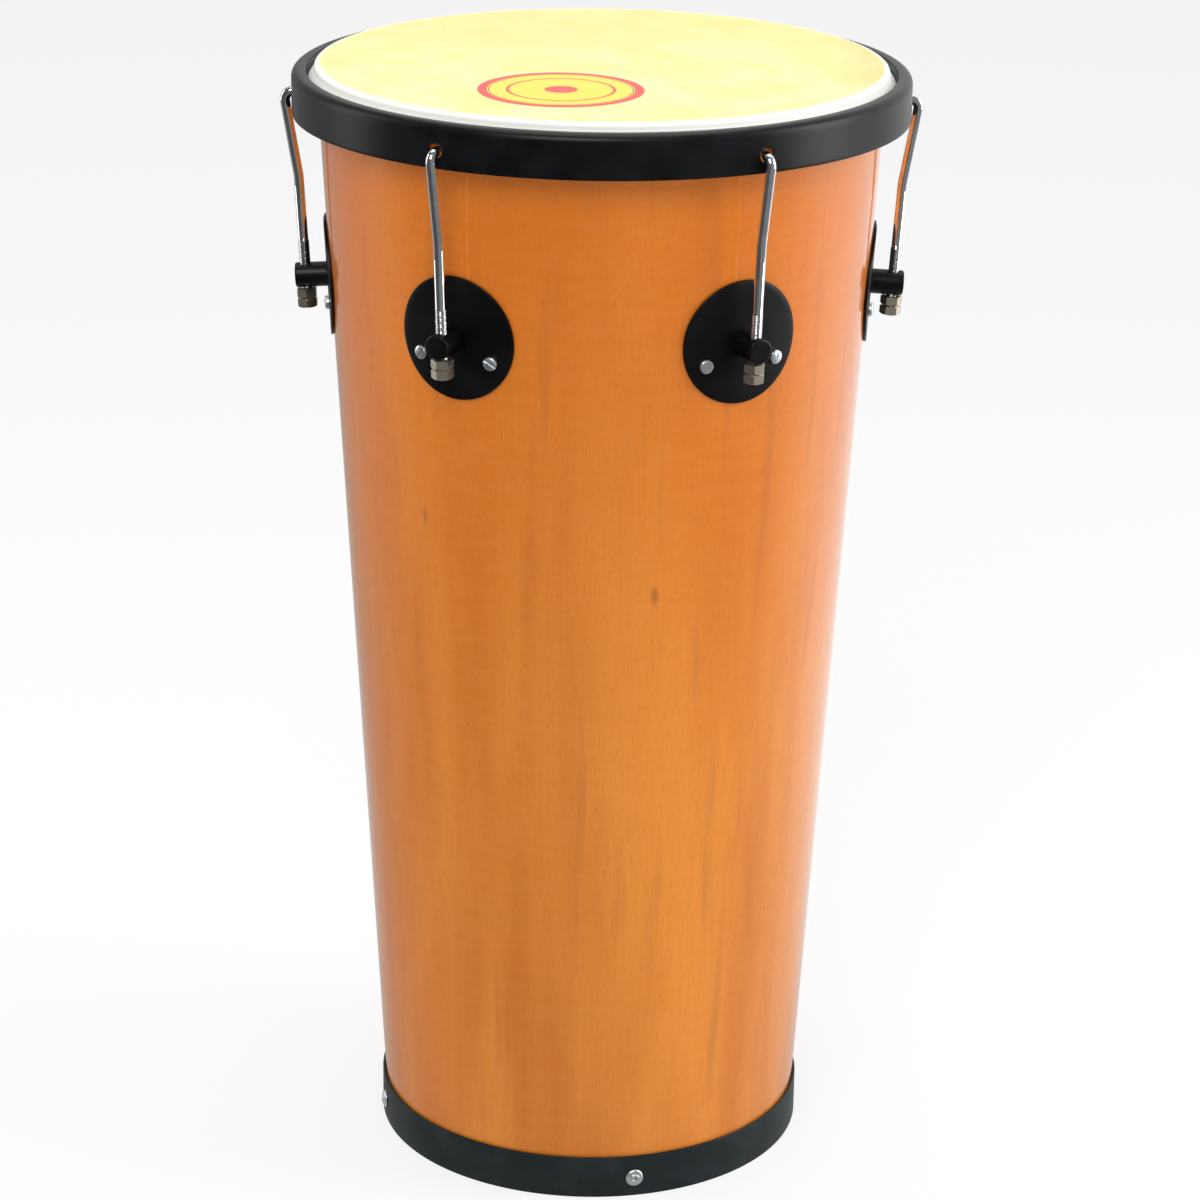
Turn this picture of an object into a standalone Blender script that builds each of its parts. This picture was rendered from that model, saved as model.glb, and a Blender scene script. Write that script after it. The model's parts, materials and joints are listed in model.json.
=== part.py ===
"""A rebolo: a tall conical hand drum with a tucked skin head, six tuning hooks and a steel foot band.

Metres, +Z up. The drum stands on the floor plane, its axis on Z, and lug 1 is left of the front (-Y).
An azimuth is measured from the front and grows towards +X.
"""

import math

import bmesh
import bpy
from mathutils import Matrix, Vector

MM = 0.001

# Clearances
SEAT_GAP = 0.3 * MM  # between two pieces that rest on each other
RUNNING_GAP = 0.35 * MM  # round a rod that slides or a nut that turns
CURVED_SEAT_GAP = 0.6 * MM  # under a flat head that sits inside the round wall

# Fineness of the turned shapes
RING_STEPS = 60
PLATE_STEPS = 24
PLATE_RINGS = 3
POST_STEPS = 16
FASTENER_STEPS = 12
CURVE_STEPS = 3

# Shell: a plywood tube that narrows towards the foot
HEAD_HEIGHT = 600.0 * MM  # playing surface above the floor
SHELL_TOP_RADIUS = 148.6 * MM
SHELL_FOOT_RADIUS = 114.3 * MM
SHELL_WALL = 7.0 * MM
BEARING_ROUND = 2.0 * MM  # round-over of the bearing edge
BEARING_FLAT = 1.0 * MM  # level crest of the bearing edge
BEARING_BEVEL = 4.0 * MM  # height of the bevel inside the bearing edge

# Head: a thin skin, flat over the bearing edge, with a collar that flares into the flesh hoop
SKIN_THICKNESS = 0.6 * MM
COLLAR_FLARE_HEIGHT = 6.0 * MM
COLLAR_GAP = 0.5 * MM  # from the collar to the inner wall of its slot

# Flesh hoop: a ring with a slot that is open at the top
FLESH_SHELL_GAP = 1.8 * MM  # from the shell to the flesh hoop
FLESH_WALL = 1.2 * MM
FLESH_SLOT = 4.4 * MM
FLESH_HEIGHT = 9.5 * MM

# Tension hoop: a rolled steel angle
HOOP_FLESH_GAP = 2.6 * MM  # from the flesh hoop to the upright wall
HOOP_SHEET = 1.5 * MM
HOOP_CORNER = 4.0 * MM  # outer radius of the rolled top corner
HOOP_DEPTH = 22.5 * MM
HOOP_DROP = 3.5 * MM  # from the playing surface down to the hoop's top
HOOP_OVERHANG = 2.1 * MM  # how far the top flange reaches over the collar's slot
HOOK_HOLE_RADIUS = 4.0 * MM

# Tuning travel of the two hoops
TIGHTEN_TRAVEL = 4.0 * MM
SLACK_TRAVEL = 2.0 * MM

# Foot band: a straight steel strip round the tapered foot
BAND_HEIGHT = 23.7 * MM
BAND_SHEET = 1.2 * MM
BAND_STANDOFF = 0.45 * MM  # from the shell to the band's top edge

# Foot band rivets
RIVET_COUNT = 4
RIVET_FIRST_AZIMUTH = math.radians(12.5)
RIVET_HEIGHT = 11.0 * MM  # above the floor
RIVET_HEAD_RADIUS = 4.9 * MM
RIVET_HEAD_RISE = 1.7 * MM
RIVET_SHANK_RADIUS = 2.4 * MM
RIVET_BORE_RADIUS = 1.35 * MM
RIVET_BORE_DEPTH = 2.6 * MM
RIVET_TAIL_RADIUS = 3.5 * MM
RIVET_TAIL_LENGTH = 4.0 * MM

# Lugs
LUG_COUNT = 6
LUG_FIRST_AZIMUTH = math.radians(-30.0)
LUG_DROP = 115.4 * MM  # from the playing surface down to the plate's centre
PLATE_RADIUS = 32.2 * MM
PLATE_SHEET = 1.5 * MM
POST_RADIUS = 6.6 * MM
POST_LENGTH = 16.8 * MM
POST_CHAMFER = 1.0 * MM
ROD_STANDOFF = 13.5 * MM  # from the shell to the hook rod's axis
BOLT_RADIUS = 3.0 * MM
BOLT_HEAD_FLATS = 10.0 * MM
BOLT_HEAD_HEIGHT = 4.0 * MM
BOLT_WASHER_RADIUS = 6.0 * MM
BOLT_WASHER_SHEET = 1.2 * MM
BORE_WEB = 0.9 * MM  # left between the post's blind bore and its rod hole

# Screws that hold the plate, each with its nut inside the shell
SCREW_SIDEWAYS = 20.0 * MM  # from the post, round the shell
SCREW_DROP = 10.3 * MM  # below the post
SCREW_RADIUS = 2.0 * MM
SCREW_HEAD_RADIUS = 3.6 * MM
SCREW_HEAD_RISE = 2.2 * MM
SCREW_SLOT_WIDTH = 1.0 * MM
SCREW_SLOT_DEPTH = 1.0 * MM
SCREW_NUT_FLATS = 7.0 * MM
SCREW_NUT_HEIGHT = 3.2 * MM
SCREW_TIP = 1.5 * MM  # past its nut
SCREW_SLOT_TURN = math.radians(50.0)  # from one screw's slot to the next

# Tuning hooks
ROD_RADIUS = 2.65 * MM
THREAD_RADIUS = 2.95 * MM
THREAD_SHOWN = 12.0 * MM  # above the post
DOGLEG_SHARE = 0.468  # of the way from the thread's end to the hook's bend
DOGLEG_RADIUS = 18.0 * MM
HOOK_STANDOFF = 1.3 * MM  # from the hoop's wall to the rod
HOOK_BEND = 4.5 * MM  # radius of the rod's centre line
HOOK_TONGUE = 6.3 * MM  # inside the hoop's wall

# Tuning nuts
NUT_FLATS = 10.0 * MM
NUT_HEIGHT = 5.0 * MM
TIP_RECESS = 1.0 * MM  # of the rod's tip inside the lock nut
NUT_TURNS = (math.radians(30.0), 0.0)  # odd lugs, even lugs

# Sizes that follow from the ones above
TAPER = math.atan2(SHELL_TOP_RADIUS - SHELL_FOOT_RADIUS, HEAD_HEIGHT - SKIN_THICKNESS - SEAT_GAP)
SHELL_HEIGHT = HEAD_HEIGHT - SKIN_THICKNESS - SEAT_GAP
CROWN_RADIUS = BEARING_ROUND + SEAT_GAP + SKIN_THICKNESS
SLOT_INNER_RADIUS = SHELL_TOP_RADIUS + FLESH_SHELL_GAP + FLESH_WALL
SLOT_OUTER_RADIUS = SLOT_INNER_RADIUS + FLESH_SLOT
COLLAR_RADIUS = SLOT_INNER_RADIUS + COLLAR_GAP + SKIN_THICKNESS
FLESH_OUTER_RADIUS = SLOT_OUTER_RADIUS + FLESH_WALL
HOOP_INNER_RADIUS = FLESH_OUTER_RADIUS + HOOP_FLESH_GAP
HOOP_OUTER_RADIUS = HOOP_INNER_RADIUS + HOOP_SHEET
HOOP_TOP = HEAD_HEIGHT - HOOP_DROP
FLESH_TOP = HOOP_TOP - HOOP_SHEET - SEAT_GAP
FLESH_BOTTOM = FLESH_TOP - FLESH_HEIGHT
SLOT_FLOOR = FLESH_BOTTOM + FLESH_WALL
COLLAR_END = SLOT_FLOOR + SLACK_TRAVEL + SEAT_GAP
FLARE_TOP = HEAD_HEIGHT - CROWN_RADIUS
FLARE_END = FLARE_TOP - COLLAR_FLARE_HEIGHT
HOOK_HEIGHT = FLESH_BOTTOM - SEAT_GAP - ROD_RADIUS
HOOK_HOLE_HEIGHT = HOOK_HEIGHT + HOOK_HOLE_RADIUS - ROD_RADIUS - SEAT_GAP
LUG_HEIGHT = HEAD_HEIGHT - LUG_DROP
THREAD_END = POST_RADIUS + THREAD_SHOWN
DOGLEG_RISE = THREAD_END + DOGLEG_SHARE * (HOOK_HEIGHT - HOOK_BEND - LUG_HEIGHT - THREAD_END)
PLATE_FACE = SEAT_GAP + PLATE_SHEET
POST_BASE = PLATE_FACE + SEAT_GAP
INNER_FACE = -SHELL_WALL * math.cos(TAPER)
INNER_SEAT = INNER_FACE - CURVED_SEAT_GAP
ROD_HOLE_RADIUS = THREAD_RADIUS + RUNNING_GAP
BOLT_TIP = ROD_STANDOFF - ROD_HOLE_RADIUS - BORE_WEB - SEAT_GAP
TENSION_NUT_TOP = -(POST_RADIUS + SEAT_GAP)
LOCK_NUT_TOP = TENSION_NUT_TOP - NUT_HEIGHT - SEAT_GAP
ROD_TIP = LOCK_NUT_TOP - NUT_HEIGHT + TIP_RECESS


def shell_radius(height):
    """Outer radius of the tapered shell at a height above the floor."""
    return SHELL_FOOT_RADIUS + math.tan(TAPER) * height


BAND_INNER_RADIUS = shell_radius(BAND_HEIGHT) + BAND_STANDOFF
BAND_OUTER_RADIUS = BAND_INNER_RADIUS + BAND_SHEET


def clear_scene():
    """Empties the scene, whatever it held."""
    for obj in list(bpy.data.objects):
        bpy.data.objects.remove(obj)


def new_collection(name):
    """A collection linked to the scene."""
    collection = bpy.data.collections.new(name)
    bpy.context.scene.collection.children.link(collection)
    return collection


def linear(hex_colour):
    """An sRGB hex colour such as 'C9803C' as a linear colour with alpha."""
    channels = [int(hex_colour[i : i + 2], 16) / 255 for i in (0, 2, 4)]
    return [c / 12.92 if c <= 0.04045 else ((c + 0.055) / 1.055) ** 2.4 for c in channels] + [1.0]


def finish(name, hex_colour, roughness, metallic):
    """A Principled material."""
    material = bpy.data.materials.new(name)
    material.use_nodes = True
    shader = material.node_tree.nodes["Principled BSDF"]
    shader.inputs["Base Color"].default_value = linear(hex_colour)
    shader.inputs["Roughness"].default_value = roughness
    shader.inputs["Metallic"].default_value = metallic
    return material


def surface_frame(azimuth, height):
    """Frame on the shell's outer face: X round the shell, Y up its slope, Z straight out of it."""
    outward = Vector((math.sin(azimuth), -math.cos(azimuth), 0.0))
    across = Vector((math.cos(azimuth), math.sin(azimuth), 0.0))
    upward = outward * math.sin(TAPER) + Vector((0.0, 0.0, math.cos(TAPER)))
    frame = Matrix((across, upward, across.cross(upward))).transposed().to_4x4()
    frame.translation = outward * shell_radius(height) + Vector((0.0, 0.0, height))
    return frame


def level_frame(azimuth, radius, height):
    """Frame on an upright round wall: X round it, Y up, Z straight out."""
    turn = Matrix.Rotation(azimuth, 4, "Z")
    return turn @ Matrix.Translation((0.0, -radius, height)) @ Matrix.Rotation(math.pi / 2, 4, "X")


def lug_azimuth(number):
    """Azimuth of a lug, counted from 1."""
    return LUG_FIRST_AZIMUTH + (number - 1) * math.tau / LUG_COUNT


def lug_frame(number):
    """Frame of a lug, on the shell at the centre of its plate."""
    return surface_frame(lug_azimuth(number), LUG_HEIGHT)


def rod_frame(number, along=0.0):
    """Frame on a hook rod's axis, level with the post or above it by along, with Z up the rod."""
    on_axis = lug_frame(number) @ Matrix.Translation((0.0, along, ROD_STANDOFF))
    return on_axis @ Matrix.Rotation(-math.pi / 2, 4, "X")


def screw_frame(number, side):
    """Frame of a plate screw, on the shell; side is -1 on the left of the post and 1 on the right."""
    height = LUG_HEIGHT - SCREW_DROP * math.cos(TAPER)
    offset = side * SCREW_SIDEWAYS / shell_radius(height)
    return surface_frame(lug_azimuth(number) + offset, height)


def rivet_azimuth(number):
    """Azimuth of a foot band rivet, counted from 1."""
    return RIVET_FIRST_AZIMUTH + (number - 1) * math.tau / RIVET_COUNT


def arc(centre, radius, start, end, steps):
    """Points from one angle to the other round a centre, both ends included."""
    angles = [start + (end - start) * i / steps for i in range(steps + 1)]
    return [(centre[0] + radius * math.cos(a), centre[1] + radius * math.sin(a)) for a in angles]


def turned(name, profile, steps, closed, collection):
    """Turns a profile of (radius, height) points about Z; its outer side runs down."""
    mesh = bpy.data.meshes.new(name)
    count = len(profile)
    edges = [(i, i + 1) for i in range(count - 1)]
    if closed:
        edges.append((count - 1, 0))
    mesh.from_pydata([(r, 0.0, z) for r, z in profile], edges, [])
    obj = bpy.data.objects.new(name, mesh)
    collection.objects.link(obj)
    screw = obj.modifiers.new("turn", "SCREW")
    screw.steps = steps
    screw.render_steps = steps
    screw.use_merge_vertices = True
    screw.merge_threshold = 0.01 * MM
    return obj


def pegs(name, frames, radius, inward, outward, collection):
    """Round cutters along Z of each frame, from inward below its origin to outward above it."""
    bm = bmesh.new()
    for frame in frames:
        middle = frame @ Matrix.Translation((0.0, 0.0, (outward - inward) / 2))
        bmesh.ops.create_cone(
            bm,
            cap_ends=True,
            segments=FASTENER_STEPS,
            radius1=radius,
            radius2=radius,
            depth=outward + inward,
            matrix=middle,
        )
    return cutter(name, bm, collection)


def cutter(name, bm, collection):
    """A hidden cutter object made from a bmesh."""
    mesh = bpy.data.meshes.new(name)
    bm.to_mesh(mesh)
    bm.free()
    obj = bpy.data.objects.new(name, mesh)
    obj.hide_render = True
    obj.display_type = "WIRE"
    collection.objects.link(obj)
    return obj


def cut(obj, tool, operation="DIFFERENCE"):
    """Adds a Boolean modifier to an object."""
    boolean = obj.modifiers.new(tool.name, "BOOLEAN")
    boolean.operation = operation
    boolean.solver = "EXACT"
    boolean.object = tool


def baked(obj):
    """The evaluated mesh of a pattern piece, whose object is then removed."""
    bpy.context.view_layer.update()
    graph = bpy.context.evaluated_depsgraph_get()
    mesh = bpy.data.meshes.new_from_object(obj.evaluated_get(graph))
    mesh.name = obj.name
    bm = bmesh.new()
    bm.from_mesh(mesh)
    bmesh.ops.remove_doubles(bm, verts=bm.verts, dist=0.001 * MM)
    bm.to_mesh(mesh)
    bm.free()
    bpy.data.objects.remove(obj)
    mesh.shade_smooth()
    mesh.set_sharp_from_angle(angle=math.radians(35.0))
    return mesh


def place(name, mesh, frame, material, collection):
    """One named piece with a shared mesh, at its frame."""
    obj = bpy.data.objects.new(name, mesh)
    obj.matrix_world = frame
    if not mesh.materials:
        mesh.materials.append(material)
    collection.objects.link(obj)
    return obj


def make_shell(drum, cutters):
    """The plywood shell with its bearing edge and the holes for lugs and rivets."""
    crest = SHELL_TOP_RADIUS - BEARING_ROUND
    round_over = arc((crest, SHELL_HEIGHT - BEARING_ROUND), BEARING_ROUND, math.pi / 2, 0.0, CURVE_STEPS)
    bevel_start = SHELL_HEIGHT - BEARING_BEVEL
    profile = round_over + [
        (SHELL_FOOT_RADIUS, 0.0),
        (SHELL_FOOT_RADIUS - SHELL_WALL, 0.0),
        (shell_radius(bevel_start) - SHELL_WALL, bevel_start),
        (crest - BEARING_FLAT, SHELL_HEIGHT),
    ]
    shell = turned("shell", profile, RING_STEPS, True, drum)
    past = SHELL_WALL
    numbers = range(1, LUG_COUNT + 1)
    bolts = [lug_frame(n) for n in numbers]
    screws = [screw_frame(n, side) for n in numbers for side in (-1, 1)]
    foot = shell_radius(RIVET_HEIGHT)
    rivets = [level_frame(rivet_azimuth(n), foot, RIVET_HEIGHT) for n in range(1, RIVET_COUNT + 1)]
    cut(shell, pegs("bolt_holes", bolts, BOLT_RADIUS + SEAT_GAP, SHELL_WALL + past, past, cutters))
    cut(shell, pegs("screw_holes", screws, SCREW_RADIUS + SEAT_GAP, SHELL_WALL + past, past, cutters))
    cut(shell, pegs("rivet_holes", rivets, RIVET_SHANK_RADIUS + SEAT_GAP, SHELL_WALL + past, past, cutters))
    shell.data.materials.append(finish("lacquered_plywood", "C9803C", 0.3, 0.0))


def make_drum_head(drum):
    """The skin: flat to the crown, over the bearing edge, and down a flared collar."""
    crown_centre = (SHELL_TOP_RADIUS - BEARING_ROUND, HEAD_HEIGHT - CROWN_RADIUS)
    crown = arc(crown_centre, CROWN_RADIUS, math.pi / 2, 0.0, CURVE_STEPS)
    flare = []
    start = crown[-1][0]
    for i in range(1, CURVE_STEPS + 1):
        share = i / CURVE_STEPS
        eased = share * share * (3.0 - 2.0 * share)
        flare.append((start + (COLLAR_RADIUS - start) * eased, FLARE_TOP - COLLAR_FLARE_HEIGHT * share))
    profile = [(0.0, HEAD_HEIGHT)] + crown + flare + [(COLLAR_RADIUS, COLLAR_END)]
    head = turned("drum_head", profile, RING_STEPS, False, drum)
    skin = head.modifiers.new("skin", "SOLIDIFY")
    skin.thickness = SKIN_THICKNESS
    skin.offset = -1.0
    skin.use_even_offset = True
    head.data.materials.append(finish("drum_skin", "FBF6C8", 0.5, 0.0))


def make_flesh_hoop(drum):
    """The ring inside the tension hoop, with the slot that takes the collar."""
    inner_wall_top = FLARE_END - SLACK_TRAVEL - SEAT_GAP
    profile = [
        (FLESH_OUTER_RADIUS, FLESH_TOP),
        (FLESH_OUTER_RADIUS, FLESH_BOTTOM),
        (SLOT_INNER_RADIUS - FLESH_WALL, FLESH_BOTTOM),
        (SLOT_INNER_RADIUS - FLESH_WALL, inner_wall_top),
        (SLOT_INNER_RADIUS, inner_wall_top),
        (SLOT_INNER_RADIUS, SLOT_FLOOR),
        (SLOT_OUTER_RADIUS, SLOT_FLOOR),
        (SLOT_OUTER_RADIUS, FLESH_TOP),
    ]
    hoop = turned("flesh_hoop", profile, RING_STEPS, True, drum)
    hoop.data.materials.append(finish("flesh_hoop_aluminium", "8E8E8C", 0.45, 1.0))


def make_tension_hoop(drum, cutters):
    """The black steel angle that presses on the flesh hoop, with a hole for each hook."""
    corner = (HOOP_OUTER_RADIUS - HOOP_CORNER, HOOP_TOP - HOOP_CORNER)
    bottom = HOOP_TOP - HOOP_DEPTH
    lip = SLOT_OUTER_RADIUS - HOOP_OVERHANG
    profile = [(lip, HOOP_TOP)]
    profile += arc(corner, HOOP_CORNER, math.pi / 2, 0.0, CURVE_STEPS)
    profile += [(HOOP_OUTER_RADIUS, bottom), (HOOP_INNER_RADIUS, bottom)]
    profile += arc(corner, HOOP_CORNER - HOOP_SHEET, 0.0, math.pi / 2, CURVE_STEPS)
    profile += [(lip, HOOP_TOP - HOOP_SHEET)]
    hoop = turned("tension_hoop", profile, RING_STEPS, True, drum)
    holes = [
        level_frame(lug_azimuth(n), HOOP_OUTER_RADIUS, HOOK_HOLE_HEIGHT) for n in range(1, LUG_COUNT + 1)
    ]
    past = HOOP_SHEET
    cut(hoop, pegs("hook_holes", holes, HOOK_HOLE_RADIUS, HOOP_SHEET + past, past, cutters))
    hoop.data.materials.append(finish("hoop_enamel", "141414", 0.35, 0.0))


def make_foot_band(drum, cutters):
    """The straight black strip round the foot."""
    profile = [
        (BAND_OUTER_RADIUS, BAND_HEIGHT),
        (BAND_OUTER_RADIUS, 0.0),
        (BAND_INNER_RADIUS, 0.0),
        (BAND_INNER_RADIUS, BAND_HEIGHT),
    ]
    band = turned("foot_band", profile, RING_STEPS, True, drum)
    numbers = range(1, RIVET_COUNT + 1)
    holes = [level_frame(rivet_azimuth(n), BAND_OUTER_RADIUS, RIVET_HEIGHT) for n in numbers]
    past = BAND_SHEET
    cut(band, pegs("band_holes", holes, RIVET_SHANK_RADIUS + SEAT_GAP, BAND_SHEET + past, past, cutters))
    band.data.materials.append(finish("band_enamel", "202A2C", 0.4, 0.0))


def make_rivets(drum):
    """Blind rivets through the band and the shell, with their tails swollen inside."""
    wall_inside = shell_radius(RIVET_HEIGHT) - SHELL_WALL
    tail_seat = wall_inside - CURVED_SEAT_GAP - BAND_OUTER_RADIUS
    tail_end = tail_seat - RIVET_TAIL_LENGTH
    crown = SEAT_GAP + RIVET_HEAD_RISE
    profile = [
        (0.0, crown - RIVET_BORE_DEPTH),
        (RIVET_BORE_RADIUS, crown - RIVET_BORE_DEPTH),
        (RIVET_BORE_RADIUS, crown),
        (RIVET_HEAD_RADIUS * 0.6, crown - RIVET_HEAD_RISE * 0.15),
        (RIVET_HEAD_RADIUS * 0.9, crown - RIVET_HEAD_RISE * 0.6),
        (RIVET_HEAD_RADIUS, SEAT_GAP),
        (RIVET_SHANK_RADIUS, SEAT_GAP),
        (RIVET_SHANK_RADIUS, tail_seat),
        (RIVET_TAIL_RADIUS, tail_seat),
        (RIVET_TAIL_RADIUS, tail_seat - RIVET_TAIL_LENGTH * 0.6),
        (RIVET_BORE_RADIUS, tail_end),
        (0.0, tail_end),
    ]
    mesh = baked(turned("rivet_pattern", profile, FASTENER_STEPS, False, drum))
    aluminium = finish("rivet_aluminium", "D8DADC", 0.3, 1.0)
    for number in range(1, RIVET_COUNT + 1):
        frame = level_frame(rivet_azimuth(number), BAND_OUTER_RADIUS, RIVET_HEIGHT)
        place(f"foot_band_rivet_{number}", mesh, frame, aluminium, drum)


def plate_mesh(drum, cutters):
    """A round plate rolled to the shell, in its lug's frame, with three holes."""
    rings = [PLATE_RADIUS * i / PLATE_RINGS for i in range(PLATE_RINGS + 1)]
    disc = baked(turned("plate_disc", [(r, 0.0) for r in rings], PLATE_STEPS, False, drum))
    flat = lug_frame(1)
    back = flat.inverted()
    for vertex in disc.vertices:
        height = LUG_HEIGHT + vertex.co.y * math.cos(TAPER)
        azimuth = lug_azimuth(1) + vertex.co.x / shell_radius(height)
        on_shell = surface_frame(azimuth, height) @ Vector((0.0, 0.0, SEAT_GAP))
        vertex.co = back @ on_shell
    plate = bpy.data.objects.new("plate_pattern", disc)
    drum.objects.link(plate)
    sheet = plate.modifiers.new("sheet", "SOLIDIFY")
    sheet.thickness = PLATE_SHEET
    sheet.offset = 1.0
    sheet.use_even_offset = True
    past = PLATE_RADIUS / 4
    bolt = pegs("plate_bolt_hole", [Matrix()], BOLT_RADIUS + SEAT_GAP, past, past, cutters)
    screws = [back @ screw_frame(1, side) for side in (-1, 1)]
    sides = pegs("plate_screw_holes", screws, SCREW_RADIUS + SEAT_GAP, past, past, cutters)
    cut(plate, bolt)
    cut(plate, sides)
    mesh = baked(plate)
    for tool in (bolt, sides):
        bpy.data.objects.remove(tool)
    return mesh


def post_mesh(drum, cutters):
    """A turned post in its lug's frame, with the rod hole across it and a blind bore in its base."""
    end = POST_BASE + POST_LENGTH
    profile = [
        (0.0, end),
        (POST_RADIUS - POST_CHAMFER, end),
        (POST_RADIUS, end - POST_CHAMFER),
        (POST_RADIUS, POST_BASE),
        (0.0, POST_BASE),
    ]
    post = turned("post_pattern", profile, POST_STEPS, False, drum)
    across = Matrix.Translation((0.0, 0.0, ROD_STANDOFF)) @ Matrix.Rotation(-math.pi / 2, 4, "X")
    reach = POST_RADIUS * 2
    rod_hole = pegs("post_rod_hole", [across], ROD_HOLE_RADIUS, reach, reach, cutters)
    bore = pegs("post_bore", [Matrix()], BOLT_RADIUS + SEAT_GAP, 0.0, BOLT_TIP + SEAT_GAP, cutters)
    cut(post, rod_hole)
    cut(post, bore)
    mesh = baked(post)
    for tool in (rod_hole, bore):
        bpy.data.objects.remove(tool)
    return mesh


def hexagon(bm, flats, bottom, top):
    """Adds a hexagonal prism about Z, measured across its flats."""
    corner = flats / 2 / math.cos(math.pi / 6)
    bmesh.ops.create_cone(
        bm,
        cap_ends=True,
        segments=6,
        radius1=corner,
        radius2=corner,
        depth=top - bottom,
        matrix=Matrix.Translation((0.0, 0.0, (top + bottom) / 2)),
    )


def bolt_mesh(drum, cutters):
    """The bolt that holds a post, from inside the shell, with its washer."""
    washer_bottom = INNER_SEAT - BOLT_WASHER_SHEET
    head_bottom = washer_bottom - BOLT_HEAD_HEIGHT
    sunk = BOLT_HEAD_HEIGHT / 2
    profile = [
        (0.0, BOLT_TIP),
        (BOLT_RADIUS, BOLT_TIP),
        (BOLT_RADIUS, INNER_SEAT),
        (BOLT_WASHER_RADIUS, INNER_SEAT),
        (BOLT_WASHER_RADIUS, washer_bottom),
        (BOLT_RADIUS, washer_bottom),
        (BOLT_RADIUS, washer_bottom - sunk),
        (0.0, washer_bottom - sunk),
    ]
    bolt = turned("bolt_pattern", profile, FASTENER_STEPS, False, drum)
    bm = bmesh.new()
    hexagon(bm, BOLT_HEAD_FLATS, head_bottom, washer_bottom + BOLT_WASHER_SHEET / 2)
    head = cutter("bolt_head", bm, cutters)
    cut(bolt, head, "UNION")
    mesh = baked(bolt)
    bpy.data.objects.remove(head)
    return mesh


def screw_mesh(drum, cutters):
    """A slotted pan-head machine screw in its surface frame, joined to its nut inside the shell."""
    nut_bottom = INNER_SEAT - SCREW_NUT_HEIGHT
    tip = nut_bottom - SCREW_TIP
    crown = POST_BASE + SCREW_HEAD_RISE
    profile = [
        (0.0, crown),
        (SCREW_HEAD_RADIUS * 0.7, crown - SCREW_HEAD_RISE * 0.2),
        (SCREW_HEAD_RADIUS, crown - SCREW_HEAD_RISE * 0.6),
        (SCREW_HEAD_RADIUS, POST_BASE),
        (SCREW_RADIUS, POST_BASE),
        (SCREW_RADIUS, tip),
        (0.0, tip),
    ]
    screw = turned("screw_pattern", profile, FASTENER_STEPS, False, drum)
    bm = bmesh.new()
    size = Matrix.Diagonal((SCREW_HEAD_RADIUS * 3, SCREW_SLOT_WIDTH, SCREW_SLOT_DEPTH * 2, 1.0))
    bmesh.ops.create_cube(bm, size=1.0, matrix=Matrix.Translation((0.0, 0.0, crown)) @ size)
    slot = cutter("screw_slot", bm, cutters)
    bm = bmesh.new()
    hexagon(bm, SCREW_NUT_FLATS, nut_bottom, INNER_SEAT)
    nut = cutter("screw_nut", bm, cutters)
    cut(screw, slot)
    cut(screw, nut, "UNION")
    mesh = baked(screw)
    for tool in (slot, nut):
        bpy.data.objects.remove(tool)
    return mesh


def nut_mesh(drum, cutters):
    """A plain hexagonal nut that hangs from its frame's origin."""
    bm = bmesh.new()
    hexagon(bm, NUT_FLATS, -NUT_HEIGHT, 0.0)
    mesh = bpy.data.meshes.new("nut_pattern")
    bm.to_mesh(mesh)
    bm.free()
    nut = bpy.data.objects.new("nut_pattern", mesh)
    drum.objects.link(nut)
    bore = pegs("nut_bore", [Matrix()], ROD_HOLE_RADIUS, NUT_HEIGHT * 2, NUT_HEIGHT, cutters)
    cut(nut, bore)
    mesh = baked(nut)
    bpy.data.objects.remove(bore)
    return mesh


def hook_path():
    """Centre line of a hook as (radius, height) points from its tip up, and where the thread ends."""
    along = Vector((math.sin(TAPER), math.cos(TAPER)))
    outward = Vector((math.cos(TAPER), -math.sin(TAPER)))
    at_post = Vector((shell_radius(LUG_HEIGHT), LUG_HEIGHT)) + outward * ROD_STANDOFF
    dogleg = at_post + along * DOGLEG_RISE
    widest = HOOP_OUTER_RADIUS + HOOK_STANDOFF + ROD_RADIUS
    centre = Vector((widest - HOOK_BEND, HOOK_HEIGHT - HOOK_BEND))
    to_centre = centre - dogleg
    lean = math.atan2(to_centre.y, to_centre.x) - math.asin(HOOK_BEND / to_centre.length)
    upper = Vector((math.cos(lean), math.sin(lean)))
    half_bend = (math.pi / 2 - TAPER - lean) / 2
    ease = DOGLEG_RADIUS * math.tan(half_bend)
    thread_top = at_post + along * THREAD_END
    runout = along * (THREAD_RADIUS - ROD_RADIUS)
    points = [at_post + along * ROD_TIP, thread_top, thread_top + runout]
    points += [dogleg - along * ease, dogleg + upper * ease]
    bend = arc(centre, HOOK_BEND, lean - math.pi / 2, math.pi / 2, CURVE_STEPS + 1)
    points += [Vector(p) for p in bend]
    points.append(Vector((HOOP_INNER_RADIUS - HOOK_TONGUE, HOOK_HEIGHT)))
    return points


def hook_mesh(drum):
    """The bent and threaded rod, in its rod frame."""
    curve = bpy.data.curves.new("hook_pattern", "CURVE")
    curve.dimensions = "3D"
    curve.bevel_depth = ROD_RADIUS
    curve.bevel_resolution = 2
    curve.use_fill_caps = True
    back = rod_frame(1).inverted() @ Matrix.Rotation(lug_azimuth(1), 4, "Z")
    points = hook_path()
    spline = curve.splines.new("POLY")
    spline.points.add(len(points) - 1)
    for index, (radius, height) in enumerate(points):
        spline.points[index].co = (*(back @ Vector((0.0, -radius, height))), 1.0)
        spline.points[index].radius = THREAD_RADIUS / ROD_RADIUS if index < 2 else 1.0
    obj = bpy.data.objects.new("hook_pattern", curve)
    drum.objects.link(obj)
    return baked(obj)


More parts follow.
